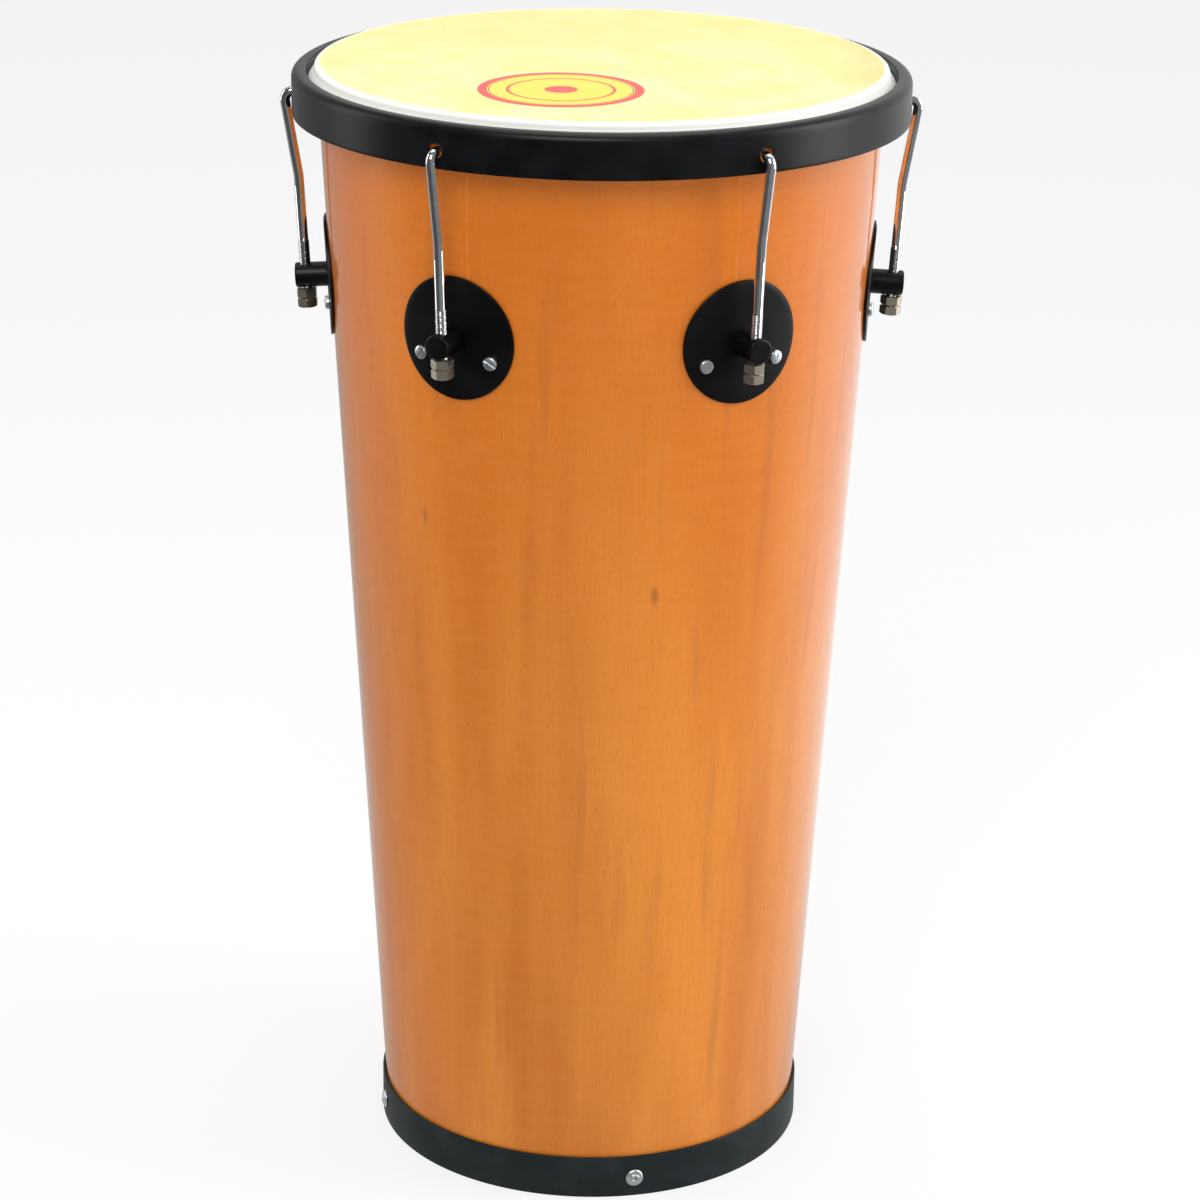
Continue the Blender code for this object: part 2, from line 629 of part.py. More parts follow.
def make_lugs(drum, cutters):
    """Six lugs: plate, post, bolt, two screws, hook and two nuts each."""
    black = finish("lug_enamel", "121214", 0.35, 0.0)
    steel = finish("inner_zinc_steel", "B8BABC", 0.35, 1.0)
    zinc = finish("screw_zinc_steel", "E2E6EA", 0.25, 1.0)
    chrome = finish("hook_chrome", "C8CCD0", 0.12, 1.0)
    nickel = finish("nut_nickel", "A8A294", 0.3, 1.0)
    plate = plate_mesh(drum, cutters)
    post = post_mesh(drum, cutters)
    bolt = bolt_mesh(drum, cutters)
    screw = screw_mesh(drum, cutters)
    nut = nut_mesh(drum, cutters)
    hook = hook_mesh(drum)
    for number in range(1, LUG_COUNT + 1):
        frame = lug_frame(number)
        place(f"lug_plate_{number}", plate, frame, black, drum)
        place(f"lug_post_{number}", post, frame, black, drum)
        place(f"lug_bolt_{number}", bolt, frame, steel, drum)
        place(f"tension_hook_{number}", hook, rod_frame(number), chrome, drum)
        turn = Matrix.Rotation(NUT_TURNS[(number - 1) % 2], 4, "Z")
        place(f"tension_nut_{number}", nut, rod_frame(number, TENSION_NUT_TOP) @ turn, nickel, drum)
        place(f"lock_nut_{number}", nut, rod_frame(number, LOCK_NUT_TOP) @ turn, nickel, drum)
        for side, word in ((-1, "left"), (1, "right")):
            slot_turn = Matrix.Rotation(SCREW_SLOT_TURN * (2 * number + side), 4, "Z")
            frame_here = screw_frame(number, side) @ slot_turn
            place(f"plate_screw_{word}_{number}", screw, frame_here, zinc, drum)


def main():
    """Builds the drum."""
    clear_scene()
    drum = new_collection("rebolo_drum")
    cutters = new_collection("cutters")
    make_shell(drum, cutters)
    make_drum_head(drum)
    make_flesh_hoop(drum)
    make_tension_hoop(drum, cutters)
    make_foot_band(drum, cutters)
    make_rivets(drum)
    make_lugs(drum, cutters)


main()
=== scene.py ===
import json
import logging
import math
from dataclasses import asdict, dataclass
from enum import Enum
from typing import Iterable, Sequence

import bmesh
import bpy
from mathutils import Matrix, Vector

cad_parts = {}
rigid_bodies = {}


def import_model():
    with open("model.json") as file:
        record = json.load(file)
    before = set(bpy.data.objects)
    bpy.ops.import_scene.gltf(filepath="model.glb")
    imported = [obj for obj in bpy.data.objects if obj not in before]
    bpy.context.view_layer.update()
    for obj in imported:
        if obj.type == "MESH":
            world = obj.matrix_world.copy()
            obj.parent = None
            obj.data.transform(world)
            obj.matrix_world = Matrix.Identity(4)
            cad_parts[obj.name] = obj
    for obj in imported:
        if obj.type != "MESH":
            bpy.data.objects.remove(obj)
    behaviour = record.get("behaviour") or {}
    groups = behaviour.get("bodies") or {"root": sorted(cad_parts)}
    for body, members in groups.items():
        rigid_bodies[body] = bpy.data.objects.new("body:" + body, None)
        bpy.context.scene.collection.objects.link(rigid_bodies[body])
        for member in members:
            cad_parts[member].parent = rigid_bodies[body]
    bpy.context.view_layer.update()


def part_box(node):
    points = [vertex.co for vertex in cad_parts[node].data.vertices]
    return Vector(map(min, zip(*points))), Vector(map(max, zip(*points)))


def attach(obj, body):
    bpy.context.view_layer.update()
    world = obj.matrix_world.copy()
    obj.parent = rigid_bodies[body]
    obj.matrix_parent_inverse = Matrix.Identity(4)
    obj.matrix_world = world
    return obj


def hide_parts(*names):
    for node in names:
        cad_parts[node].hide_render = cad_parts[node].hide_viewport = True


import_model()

LOG = logging.getLogger("rebolo")
MM = 0.001

# Facets round a turned shape
RING_STEPS = 240
DISC_STEPS = 96
PIECE_STEPS = 64
FASTENER_STEPS = 48
PEG_STEPS = 32
RIVET_HOLE_STEPS = 24

# Parts of an outline
ARC_STEPS = 8
EDGE_STEPS = 3
TIP_STEPS = 4
COLLAR_ROWS = 2
LABEL_ROWS = 4
PLATE_ROWS = 12
POST_END_ROWS = 3
POST_SIDE_ROWS = 6
ROWS_PER_PITCH = 8

# Angles in degrees past which an edge stays sharp
SHARP_ANGLE = 32.0
SKIN_SHARP_ANGLE = 50.0
ROD_SHARP_ANGLE = 45.0

# Points of an outline nearer to the axis than this are one point
POLE_RADIUS = 1e-7

# How far a nut's cutter stands past its ends
CUT_PAST = 1.0 * MM

# Places that more than one sub-assembly needs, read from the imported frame
HEAD_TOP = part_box("drum_head")[1].z
SHELL_TOP_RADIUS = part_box("shell")[1].x
SHELL_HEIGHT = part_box("shell")[1].z
HOOP_OUTER_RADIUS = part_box("tension_hoop")[1].x
HOOP_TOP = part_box("tension_hoop")[1].z
HOOP_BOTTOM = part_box("tension_hoop")[0].z
FLESH_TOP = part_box("flesh_hoop")[1].z
FLESH_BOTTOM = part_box("flesh_hoop")[0].z
BAND_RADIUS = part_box("foot_band")[1].x
BAND_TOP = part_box("foot_band")[1].z

# Sizes that the frame's boxes don't give
SHELL_FOOT_RADIUS = 114.3 * MM
SHELL_WALL = 7.0 * MM
BEARING_ROUND = 2.0 * MM
HOOP_SHEET = 1.5 * MM
SEAT_GAP = 0.3 * MM
CURVED_SEAT_GAP = 0.6 * MM
LUG_COUNT = 6
LUG_FIRST = math.radians(-30.0)
LUG_STEP = math.tau / LUG_COUNT
LUG_HEIGHT = HEAD_TOP - 115.4 * MM
TAPER = math.atan2(SHELL_TOP_RADIUS - SHELL_FOOT_RADIUS, SHELL_HEIGHT)
INNER_SEAT = -SHELL_WALL * math.cos(TAPER) - CURVED_SEAT_GAP
LUG_TILT = math.pi / 2 + TAPER
PLATE_SHEET = 1.5 * MM
POST_BASE = 2 * SEAT_GAP + PLATE_SHEET

Profile = list[tuple[float, float]]


class Slot(Enum):
    """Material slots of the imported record."""

    PLYWOOD = "lacquered_plywood"
    SKIN = "drum_skin"
    FLESH_HOOP = "flesh_hoop_aluminium"
    ENAMEL = "black_enamel"
    CHROME = "hook_chrome"
    NICKEL = "nut_nickel"
    ZINC = "zinc_steel"
    ALUMINIUM = "rivet_aluminium"


class Body(Enum):
    """Bodies that pieces ride on; hooks and nuts add their number."""

    DRUM = "drum"
    HOOPS = "hoops"
    HOOK = "hook"
    NUTS = "nuts"

    def numbered(self, number: int) -> str:
        """The name of a numbered body."""
        return f"{self.value}_{number}"


def shell_radius(height: float) -> float:
    """Outer radius of the tapered shell.

    Args:
        height: height above the floor, in metres.

    Returns:
        The radius, in metres.
    """
    return SHELL_FOOT_RADIUS + math.tan(TAPER) * height


def surface_frame(azimuth: float, height: float) -> Matrix:
    """Frame on the shell's outer face: X round it, Y up its slope, Z out of it.

    Args:
        azimuth: angle from the front towards +X, in radians.
        height: height above the floor, in metres.

    Returns:
        The frame as a 4x4 matrix.
    """
    turn = Matrix.Rotation(azimuth, 4, "Z")
    move = Matrix.Translation((0.0, -shell_radius(height), height))
    return turn @ move @ Matrix.Rotation(LUG_TILT, 4, "X")


def arc(
    centre: tuple[float, float], radius: float, start: float, end: float, steps: int
) -> Profile:
    """Points round a centre.

    Args:
        centre: the centre.
        radius: the radius.
        start: first angle, in degrees.
        end: last angle, in degrees.
        steps: number of chords.

    Returns:
        The points, both ends included.
    """
    angles = [math.radians(start + (end - start) * i / steps) for i in range(steps + 1)]
    return [(centre[0] + radius * math.cos(a), centre[1] + radius * math.sin(a)) for a in angles]


def line(start: tuple[float, float], end: tuple[float, float], steps: int) -> Profile:
    """Evenly spaced points on a straight run.

    Args:
        start: first point.
        end: last point.
        steps: number of parts.

    Returns:
        The points, both ends included.
    """
    return [
        (start[0] + (end[0] - start[0]) * i / steps, start[1] + (end[1] - start[1]) * i / steps)
        for i in range(steps + 1)
    ]


def ring_section(inner: float, outer: float, bottom: float, top: float, edge: float) -> Profile:
    """Section of a plain ring with rounded edges, from its top outer edge down.

    Args:
        inner: inner radius.
        outer: outer radius.
        bottom: lower height.
        top: upper height.
        edge: radius of the four edges.

    Returns:
        The closed outline.
    """
    outline = arc((outer - edge, top - edge), edge, 90, 0, EDGE_STEPS)
    outline += arc((outer - edge, bottom + edge), edge, 0, -90, EDGE_STEPS)
    outline += arc((inner + edge, bottom + edge), edge, -90, -180, EDGE_STEPS)
    outline += arc((inner + edge, top - edge), edge, 180, 90, EDGE_STEPS)
    return outline


def dome(radius: float, base: float, rise: float, fullness: float, angles: range) -> Profile:
    """Points down a low dome, from near its top to near its rim.

    Args:
        radius: radius of the rim.
        base: height of the rim.
        rise: height of the top above the rim.
        fullness: power of the cosine; the lower it is, the fuller the dome.
        angles: angles from the top, in degrees.

    Returns:
        The points.
    """
    turns = [math.radians(angle) for angle in angles]
    return [(radius * math.sin(t), base + rise * math.cos(t) ** fullness) for t in turns]


def mesh_from(name: str, bm: bmesh.types.BMesh, sharp: float = SHARP_ANGLE) -> bpy.types.Mesh:
    """Writes a bmesh to a smooth-shaded mesh and frees it.

    Args:
        name: the mesh's name.
        bm: the bmesh.
        sharp: angle in degrees past which an edge stays sharp.

    Returns:
        The mesh.
    """
    mesh = bpy.data.meshes.new(name)
    bm.to_mesh(mesh)
    bm.free()
    mesh.shade_smooth()
    mesh.set_sharp_from_angle(angle=math.radians(sharp))
    return mesh


def turned(
    name: str, outline: Profile, steps: int, closed: bool, sharp: float = SHARP_ANGLE
) -> bpy.types.Mesh:
    """Turns an outline of (radius, height) points about Z.

    Args:
        name: the mesh's name.
        outline: points that run down the outer side.
        steps: number of facets round.
        closed: whether the last point joins the first.
        sharp: angle in degrees past which an edge stays sharp.

    Returns:
        The mesh, with one vertex at each pole.
    """
    bm = bmesh.new()
    angles = [math.tau * i / steps for i in range(steps)]
    rings = []
    for radius, height in outline:
        points = [(radius * math.cos(a), radius * math.sin(a), height) for a in angles]
        if radius < POLE_RADIUS:
            points = [(0.0, 0.0, height)]
        rings.append([bm.verts.new(point) for point in points])
    pairs = list(zip(rings, rings[1:]))
    if closed:
        pairs.append((rings[-1], rings[0]))
    for upper, lower in pairs:
        for i in range(steps):
            j = (i + 1) % steps
            down = [upper[i % len(upper)], lower[i % len(lower)]]
            back = [lower[j % len(lower)], upper[j % len(upper)]]
            bm.faces.new(list(dict.fromkeys(down + back)))
    return mesh_from(name, bm, sharp)


def prism(name: str, flats: float, bottom: float, top: float) -> bpy.types.Mesh:
    """A hexagonal prism about Z.

    Args:
        name: the mesh's name.
        flats: size across the flats.
        bottom: lower end.
        top: upper end.

    Returns:
        The mesh.
    """
    corner = flats / 2 / math.cos(math.pi / 6)
    outline = [(0.0, top), (corner, top), (corner, bottom), (0.0, bottom)]
    return turned(name, outline, 6, False)


def peg(radius: float, bottom: float, top: float, steps: int = PEG_STEPS) -> bpy.types.Mesh:
    """A round cutter about Z.

    Args:
        radius: its radius.
        bottom: lower end.
        top: upper end.
        steps: number of facets round.

    Returns:
        The mesh.
    """
    outline = [(0.0, top), (radius, top), (radius, bottom), (0.0, bottom)]
    return turned("peg", outline, steps, False)


def moved(mesh: bpy.types.Mesh, matrix: Matrix) -> bpy.types.Mesh:
    """Moves a mesh's points by a matrix and returns the mesh."""
    mesh.transform(matrix)
    return mesh


def combined(
    name: str, mesh: bpy.types.Mesh, tools: Iterable[tuple[str, bpy.types.Mesh]]
) -> bpy.types.Mesh:
    """Cuts or joins meshes with exact Booleans.

    Args:
        name: the new mesh's name.
        mesh: the mesh to work on.
        tools: pairs of operation and tool mesh.

    Returns:
        The result as a mesh.
    """
    scene = bpy.context.scene.collection
    obj = bpy.data.objects.new(name, mesh)
    scene.objects.link(obj)
    helpers = []
    for operation, tool in tools:
        helper = bpy.data.objects.new(f"{name}_tool", tool)
        scene.objects.link(helper)
        helpers.append(helper)
        boolean = obj.modifiers.new("boolean", "BOOLEAN")
        boolean.operation = operation
        boolean.solver = "EXACT"
        boolean.object = helper
    result = flattened(obj)
    for helper in helpers:
        bpy.data.objects.remove(helper)
    result.name = name
    result.shade_smooth()
    result.set_sharp_from_angle(angle=math.radians(SHARP_ANGLE))
    return result


def flattened(obj: bpy.types.Object) -> bpy.types.Mesh:
    """The evaluated mesh of an object, which is then removed."""
    bpy.context.view_layer.update()
    graph = bpy.context.evaluated_depsgraph_get()
    mesh = bpy.data.meshes.new_from_object(obj.evaluated_get(graph))
    bpy.data.objects.remove(obj)
    return mesh


# Materials


def linear(hex_colour: str) -> tuple[float, float, float, float]:
    """An sRGB hex colour such as 'C9803C' as a linear colour with alpha."""
    channels = [int(hex_colour[i : i + 2], 16) / 255 for i in (0, 2, 4)]
    red, green, blue = [c / 12.92 if c <= 0.04045 else ((c + 0.055) / 1.055) ** 2.4 for c in channels]
    return (red, green, blue, 1.0)


def add_node(
    tree: bpy.types.NodeTree,
    kind: str,
    settings: dict[str, object] | None = None,
    inputs: dict[object, object] | None = None,
) -> bpy.types.Node:
    """Adds a node with its settings, values and links.

    Args:
        tree: the node tree.
        kind: the node's type.
        settings: properties to set on the node.
        inputs: values or output sockets, keyed by input name or number.

    Returns:
        The node.
    """
    node = tree.nodes.new(kind)
    for key, value in (settings or {}).items():
        setattr(node, key, value)
    for key, value in (inputs or {}).items():
        if isinstance(value, bpy.types.NodeSocket):
            tree.links.new(value, node.inputs[key])
        else:
            node.inputs[key].default_value = value
    return node


def math_node(tree: bpy.types.NodeTree, operation: str, *values: object) -> bpy.types.NodeSocket:
    """The output of a math node on one to three values or sockets."""
    settings = {"operation": operation}
    return add_node(tree, "ShaderNodeMath", settings, dict(enumerate(values))).outputs[0]


def vector_node(tree: bpy.types.NodeTree, operation: str, *values: object) -> bpy.types.Node:
    """A vector math node on one or two values or sockets."""
    settings = {"operation": operation}
    return add_node(tree, "ShaderNodeVectorMath", settings, dict(enumerate(values)))


def remap(
    tree: bpy.types.NodeTree, value: object, ends: dict[str, object], smooth: bool = False
) -> bpy.types.NodeSocket:
    """Maps a value from one range to another, clamped at both ends.

    Args:
        tree: the node tree.
        value: the value or socket.
        ends: ends of the ranges by input name, where they aren't 0 and 1.
        smooth: whether the result eases in and out.

    Returns:
        The mapped value.
    """
    settings = {"interpolation_type": "SMOOTHSTEP" if smooth else "LINEAR"}
    return add_node(tree, "ShaderNodeMapRange", settings, {"Value": value, **ends}).outputs[0]


class Painter:
    """A material's node tree, with the few patterns that the finishes share."""

    def __init__(self, name: str) -> None:
        """Makes an empty Principled material of that name."""
        self.material = bpy.data.materials.new(name)
        self.material.use_nodes = True
        self.tree = self.material.node_tree
        self.shader = self.tree.nodes["Principled BSDF"]
        self.place = add_node(self.tree, "ShaderNodeTexCoord").outputs["Object"]

    def set(self, **values: object) -> None:
        """Sets the shader's own sockets, whose names have _ for a space."""
        for key, value in values.items():
            self.shader.inputs[key.replace("_", " ")].default_value = value

    def link(self, socket: str, output: bpy.types.NodeSocket) -> None:
        """Feeds one of the shader's sockets."""
        self.tree.links.new(output, self.shader.inputs[socket])

    def math(self, operation: str, *values: object) -> bpy.types.NodeSocket:
        """A math node on one to three values or sockets."""
        return math_node(self.tree, operation, *values)

    def noise(
        self,
        size: Sequence[float],
        detail: float = 2.0,
        roughness: float = 0.5,
        distortion: float = 0.0,
    ) -> bpy.types.NodeSocket:
        """Noise whose features have a real size.

        Args:
            size: feature size along X, Y and Z, in millimetres.
            detail: octaves of detail.
            roughness: strength of the fine octaves.
            distortion: how far the pattern is warped.

        Returns:
            The value output, about 0.5 on average.
        """
        scale = [1.0 / (s * MM) for s in size]
        stretch = add_node(
            self.tree,
            "ShaderNodeMapping",
            inputs={"Vector": self.place, "Scale": scale},
        )
        texture = add_node(
            self.tree,
            "ShaderNodeTexNoise",
            inputs={
                "Vector": stretch.outputs[0],
                "Scale": 1.0,
                "Detail": detail,
                "Roughness": roughness,
                "Distortion": distortion,
            },
        )
        return texture.outputs["Fac"]

    def span(
        self, value: object, low: float, high: float, to_low: float = 0.0, to_high: float = 1.0
    ) -> bpy.types.NodeSocket:
        """Maps a value smoothly from one range to another, clamped at both ends."""
        ends = {"From Min": low, "From Max": high, "To Min": to_low, "To Max": to_high}
        return remap(self.tree, value, ends, smooth=True)

    def mix(self, factor: object, first: object, second: object) -> bpy.types.NodeSocket:
        """Mixes two colours, given as hex words or sockets."""
        colours = [linear(c) if isinstance(c, str) else c for c in (first, second)]
        node = add_node(
            self.tree,
            "ShaderNodeMix",
            {"data_type": "RGBA"},
            {"Factor": factor, 6: colours[0], 7: colours[1]},
        )
        return node.outputs[2]

    def bump(self, height: bpy.types.NodeSocket, depth: float) -> None:
        """Bumps the surface by a pattern.

        Args:
            height: pattern from 0 to 1.
            depth: real height of the pattern, in millimetres.
        """
        node = add_node(
            self.tree,
            "ShaderNodeBump",
            inputs={"Height": height, "Strength": 1.0, "Distance": depth * MM},
        )
        self.link("Normal", node.outputs[0])

    def radius(self, centre: tuple[float, float] = (0.0, 0.0)) -> bpy.types.NodeSocket:
        """Distance from an upright line through a point on the floor plane."""
        node = add_node(
            self.tree,
            "ShaderNodeMapping",
            inputs={
                "Vector": self.place,
                "Location": (-centre[0], -centre[1], 0.0),
                "Scale": (1.0, 1.0, 0.0),
            },
        )
        return vector_node(self.tree, "LENGTH", node.outputs[0]).outputs["Value"]

    def axis(self, name: str) -> bpy.types.NodeSocket:
        """One of the object coordinates X, Y and Z."""
        return add_node(self.tree, "ShaderNodeSeparateXYZ", inputs={0: self.place}).outputs[name]


@dataclass(frozen=True)
class Knot:
    """A small dark knot in the face veneer, in degrees from the front and in millimetres."""

    azimuth: float
    height: float
    width: float
    length: float
    depth: float


@dataclass(frozen=True)
class LacqueredVeneer:
    """Rotary-cut hardwood veneer, stained honey and clear lacquered: fine upright grain."""

    light: str = "DA852C"
    dark: str = "C66E18"
    upper: str = "D06A00"
    pore: str = "8A4A1C"
    figure: str = "FFC890"
    streak: str = "A86028"
    knot: str = "7A3A18"
    upper_from: float = 200.0 * MM
    upper_to: float = 580.0 * MM
    grain_depth: float = 0.03
    knots: tuple[Knot, ...] = (
        Knot(-40.0, 385.0, 5.0, 16.0, 0.35),
        Knot(13.0, 352.0, 6.5, 15.0, 0.5),
        Knot(150.0, 260.0, 6.0, 18.0, 0.4),
    )

    def material(self) -> bpy.types.Material:
        """Builds the material."""
        paint = Painter("lacquered_hardwood_veneer")
        # Broad zones of lighter and darker wood, longer than the drum is wide
        zones = paint.noise((45.0, 45.0, 420.0), detail=3.0, roughness=0.55, distortion=0.2)
        colour = paint.mix(paint.span(zones, 0.32, 0.68), self.dark, self.light)
        warmer = paint.span(paint.axis("Z"), self.upper_from, self.upper_to, 0.0, 0.75)
        colour = paint.mix(warmer, colour, self.upper)
        # Growth lines about 1.6 mm apart and a quarter of a metre long
        lines = paint.noise((1.6, 1.6, 240.0), detail=4.0, roughness=0.6, distortion=0.3)
        colour = paint.mix(paint.span(lines, 0.3, 0.7, 0.0, 0.26), colour, self.dark)
        # Pores are 0.1 mm wide on the wood and are drawn at 0.5 mm so that they show
        pores = paint.noise((0.5, 0.5, 9.0))
        colour = paint.mix(paint.span(pores, 0.56, 0.74, 0.0, 0.3), colour, self.pore)
        # Cross figure, where the light changes every few millimetres up the grain
        figure = paint.noise((26.0, 26.0, 4.0), distortion=1.0)
        colour = paint.mix(paint.span(figure, 0.35, 0.65, 0.0, 0.02), colour, self.figure)
        # Darker mineral streaks, about 9 mm wide
        streaks = paint.noise((9.0, 9.0, 330.0), roughness=0.4)
        colour = paint.mix(paint.span(streaks, 0.6, 0.76, 0.0, 0.3), colour, self.streak)
        for knot in self.knots:
            colour = paint.mix(self._knot_mask(paint, knot), colour, self.knot)
        paint.link("Base Color", colour)
        paint.set(Roughness=0.42, IOR=1.5, Specular_IOR_Level=0.2)
        paint.set(Coat_Weight=1.0, Coat_Roughness=0.09, Coat_IOR=1.5)
        paint.bump(lines, self.grain_depth)
        return paint.material

    def _knot_mask(self, paint: Painter, knot: Knot) -> bpy.types.NodeSocket:
        """Soft upright ellipse on the shell.

        Args:
            paint: the material's painter.
            knot: the knot.

        Returns:
            The mask, from 0 to the knot's depth.
        """
        height = knot.height * MM
        azimuth = math.radians(knot.azimuth)
        radius = shell_radius(height)
        centre = (radius * math.sin(azimuth), -radius * math.cos(azimuth), height)
        scale = (2.0 / (knot.width * MM), 2.0 / (knot.width * MM), 2.0 / (knot.length * MM))
        offset = [-c * s for c, s in zip(centre, scale)]
        local = add_node(
            paint.tree,
            "ShaderNodeMapping",
            inputs={"Vector": paint.place, "Location": offset, "Scale": scale},
        )
        away = vector_node(paint.tree, "LENGTH", local.outputs[0]).outputs["Value"]
        return paint.span(away, 0.15, 1.0, knot.depth, 0.0)


@dataclass(frozen=True)
class BarePlywood:
    """Sanded inner face and cut edges of the plywood: dry pale wood, with plies at the edges."""

    face: str = "D9B98C"
    ply: str = "B98F5E"
    grain: str = "A87C4C"
    ply_sheet: float = 1.4 * MM
    grain_depth: float = 0.08

    def material(self) -> bpy.types.Material:
        """Builds the material."""
        paint = Painter("bare_plywood")
        slope = paint.math("MULTIPLY", paint.axis("Z"), math.tan(TAPER))
        depth = paint.math("SUBTRACT", paint.radius(), slope)
        plies = paint.math("SINE", paint.math("MULTIPLY", depth, math.pi / self.ply_sheet))
        grain = paint.noise((2.2, 2.2, 90.0), detail=4.0, roughness=0.6)
        colour = paint.mix(paint.span(plies, -0.15, 0.15, 0.0, 0.7), self.face, self.ply)
        colour = paint.mix(paint.span(grain, 0.3, 0.75, 0.0, 0.4), colour, self.grain)
        paint.link("Base Color", colour)
        paint.set(Roughness=0.8, IOR=1.5)
        paint.bump(grain, self.grain_depth)
        return paint.material


@dataclass(frozen=True)
class StretchedSkin:
    """Thin napa skin: pale yellow with faint clouds, almost white round the collar where it bends over the
    bearing edge.
    """

    centre: str = "FBF3B4"
    cloud: str = "F6E898"
    collar: str = "FBFAF2"
    # Darker, more orange colour mixed in towards the right edge
    stain: str = "D9A04A"
    far: str = "F3DF82"
    vein: str = "E9D27E"
    collar_from: float = 145.5 * MM
    collar_to: float = 147.5 * MM
    grain_depth: float = 0.02

    def material(self) -> bpy.types.Material:
        """Builds the material."""
        paint = Painter("stretched_skin")
        clouds = paint.noise((38.0, 38.0, 38.0), detail=4.0, roughness=0.6, distortion=0.8)
        colour = paint.mix(paint.span(clouds, 0.35, 0.68), self.centre, self.cloud)
        # Yellower towards the far side, and darker and more orange towards the right edge
        far = paint.span(paint.axis("Y"), -60.0 * MM, 140.0 * MM, 0.0, 0.45)
        colour = paint.mix(far, colour, self.far)
        edge = paint.span(paint.axis("X"), 110.0 * MM, 147.0 * MM, 0.0, 0.3)
        colour = paint.mix(edge, colour, self.stain)
        veins = paint.noise((7.0, 7.0, 7.0), detail=3.0, roughness=0.65, distortion=1.5)
        colour = paint.mix(paint.span(veins, 0.52, 0.72, 0.0, 0.14), colour, self.vein)
        # Almost white round the collar, where the skin bends over the bearing edge
        stretched = paint.span(paint.radius(), self.collar_from, self.collar_to)
        colour = paint.mix(stretched, colour, self.collar)
        paint.link("Base Color", colour)
        paint.set(Roughness=0.5, IOR=1.5, Subsurface_Weight=0.12, Subsurface_Scale=0.001)
        paint.set(Subsurface_Radius=(1.0, 0.7, 0.4))
        pits = paint.noise((0.9, 0.9, 0.9), detail=3.0, roughness=0.6)
        paint.bump(pits, self.grain_depth)
        return paint.material


@dataclass(frozen=True)
class PrintedLabel:
    """Plain printed paper label under satin varnish: red rim, yellow field, red ring and dot."""

    centre: tuple[float, float]
    radius: float
    red: str = "E8423C"
    yellow: str = "FBE23E"
    brown: str = "5A2A20"
    fibre: str = "FFFFFF"
    red_bands: tuple[tuple[float, float], ...] = ((0.885, 2.0), (0.62, 0.66), (0.0, 0.2))
    brown_line: float = 0.865
    half_line: float = 0.006

    def material(self) -> bpy.types.Material:
        """Builds the material."""
        paint = Painter("printed_paper")
        away = paint.math("DIVIDE", paint.radius(self.centre), self.radius)
        colour: object = self.yellow
        # Bands and the line are shares of the label's radius
        for low, high in self.red_bands:
            past = paint.math("GREATER_THAN", away, low)
            short = paint.math("LESS_THAN", away, high)
            colour = paint.mix(paint.math("MULTIPLY", past, short), colour, self.red)
        thin = paint.math("COMPARE", away, self.brown_line, self.half_line)
        colour = paint.mix(thin, colour, self.brown)
        fibre = paint.noise((1.2, 1.2, 1.2), detail=3.0, roughness=0.6)
        colour = paint.mix(paint.span(fibre, 0.3, 0.7, 0.0, 0.05), colour, self.fibre)
        paint.link("Base Color", colour)
        paint.set(Roughness=0.38, IOR=1.5)
        return paint.material


@dataclass(frozen=True)
class BlackEnamel:
    """Stoved black enamel on steel: satin, with a faint orange peel."""

    name: str
    colour: str = "070809"
    worn: str = "101114"
    roughness: float = 0.34
    haze: float = 0.03
    peel_depth: float = 0.02

    def material(self) -> bpy.types.Material:
        """Builds the material."""
        paint = Painter(self.name)
        peel = paint.noise((1.6, 1.6, 1.6))
        haze = paint.noise((24.0, 24.0, 24.0), detail=3.0, roughness=0.6)
        paint.link("Base Color", paint.mix(paint.span(haze, 0.4, 0.7), self.colour, self.worn))
        duller = self.roughness + self.haze
        paint.link("Roughness", paint.span(haze, 0.3, 0.7, self.roughness, duller))
        paint.set(IOR=1.5, Specular_IOR_Level=0.25)
        paint.bump(peel, self.peel_depth)
        return paint.material


@dataclass(frozen=True)
class PolishedMetal:
    """A plated or polished metal, with faint scratches and tarnish."""

    name: str
    colour: str
    tarnish: str
    roughness: float
    scratch: float = 0.0
    dulling: float = 1.6

    def material(self) -> bpy.types.Material:
        """Builds the material."""
        paint = Painter(self.name)
        cloud = paint.noise((6.0, 6.0, 6.0), detail=3.0, roughness=0.6)
        paint.link("Base Color", paint.mix(paint.span(cloud, 0.42, 0.72), self.colour, self.tarnish))
        duller = self.roughness * self.dulling
        paint.link("Roughness", paint.span(cloud, 0.3, 0.7, self.roughness, duller))
        paint.set(Metallic=1.0)
        if self.scratch:
            paint.bump(paint.noise((0.5, 0.5, 3.0), detail=3.0, roughness=0.6), self.scratch)
        return paint.material


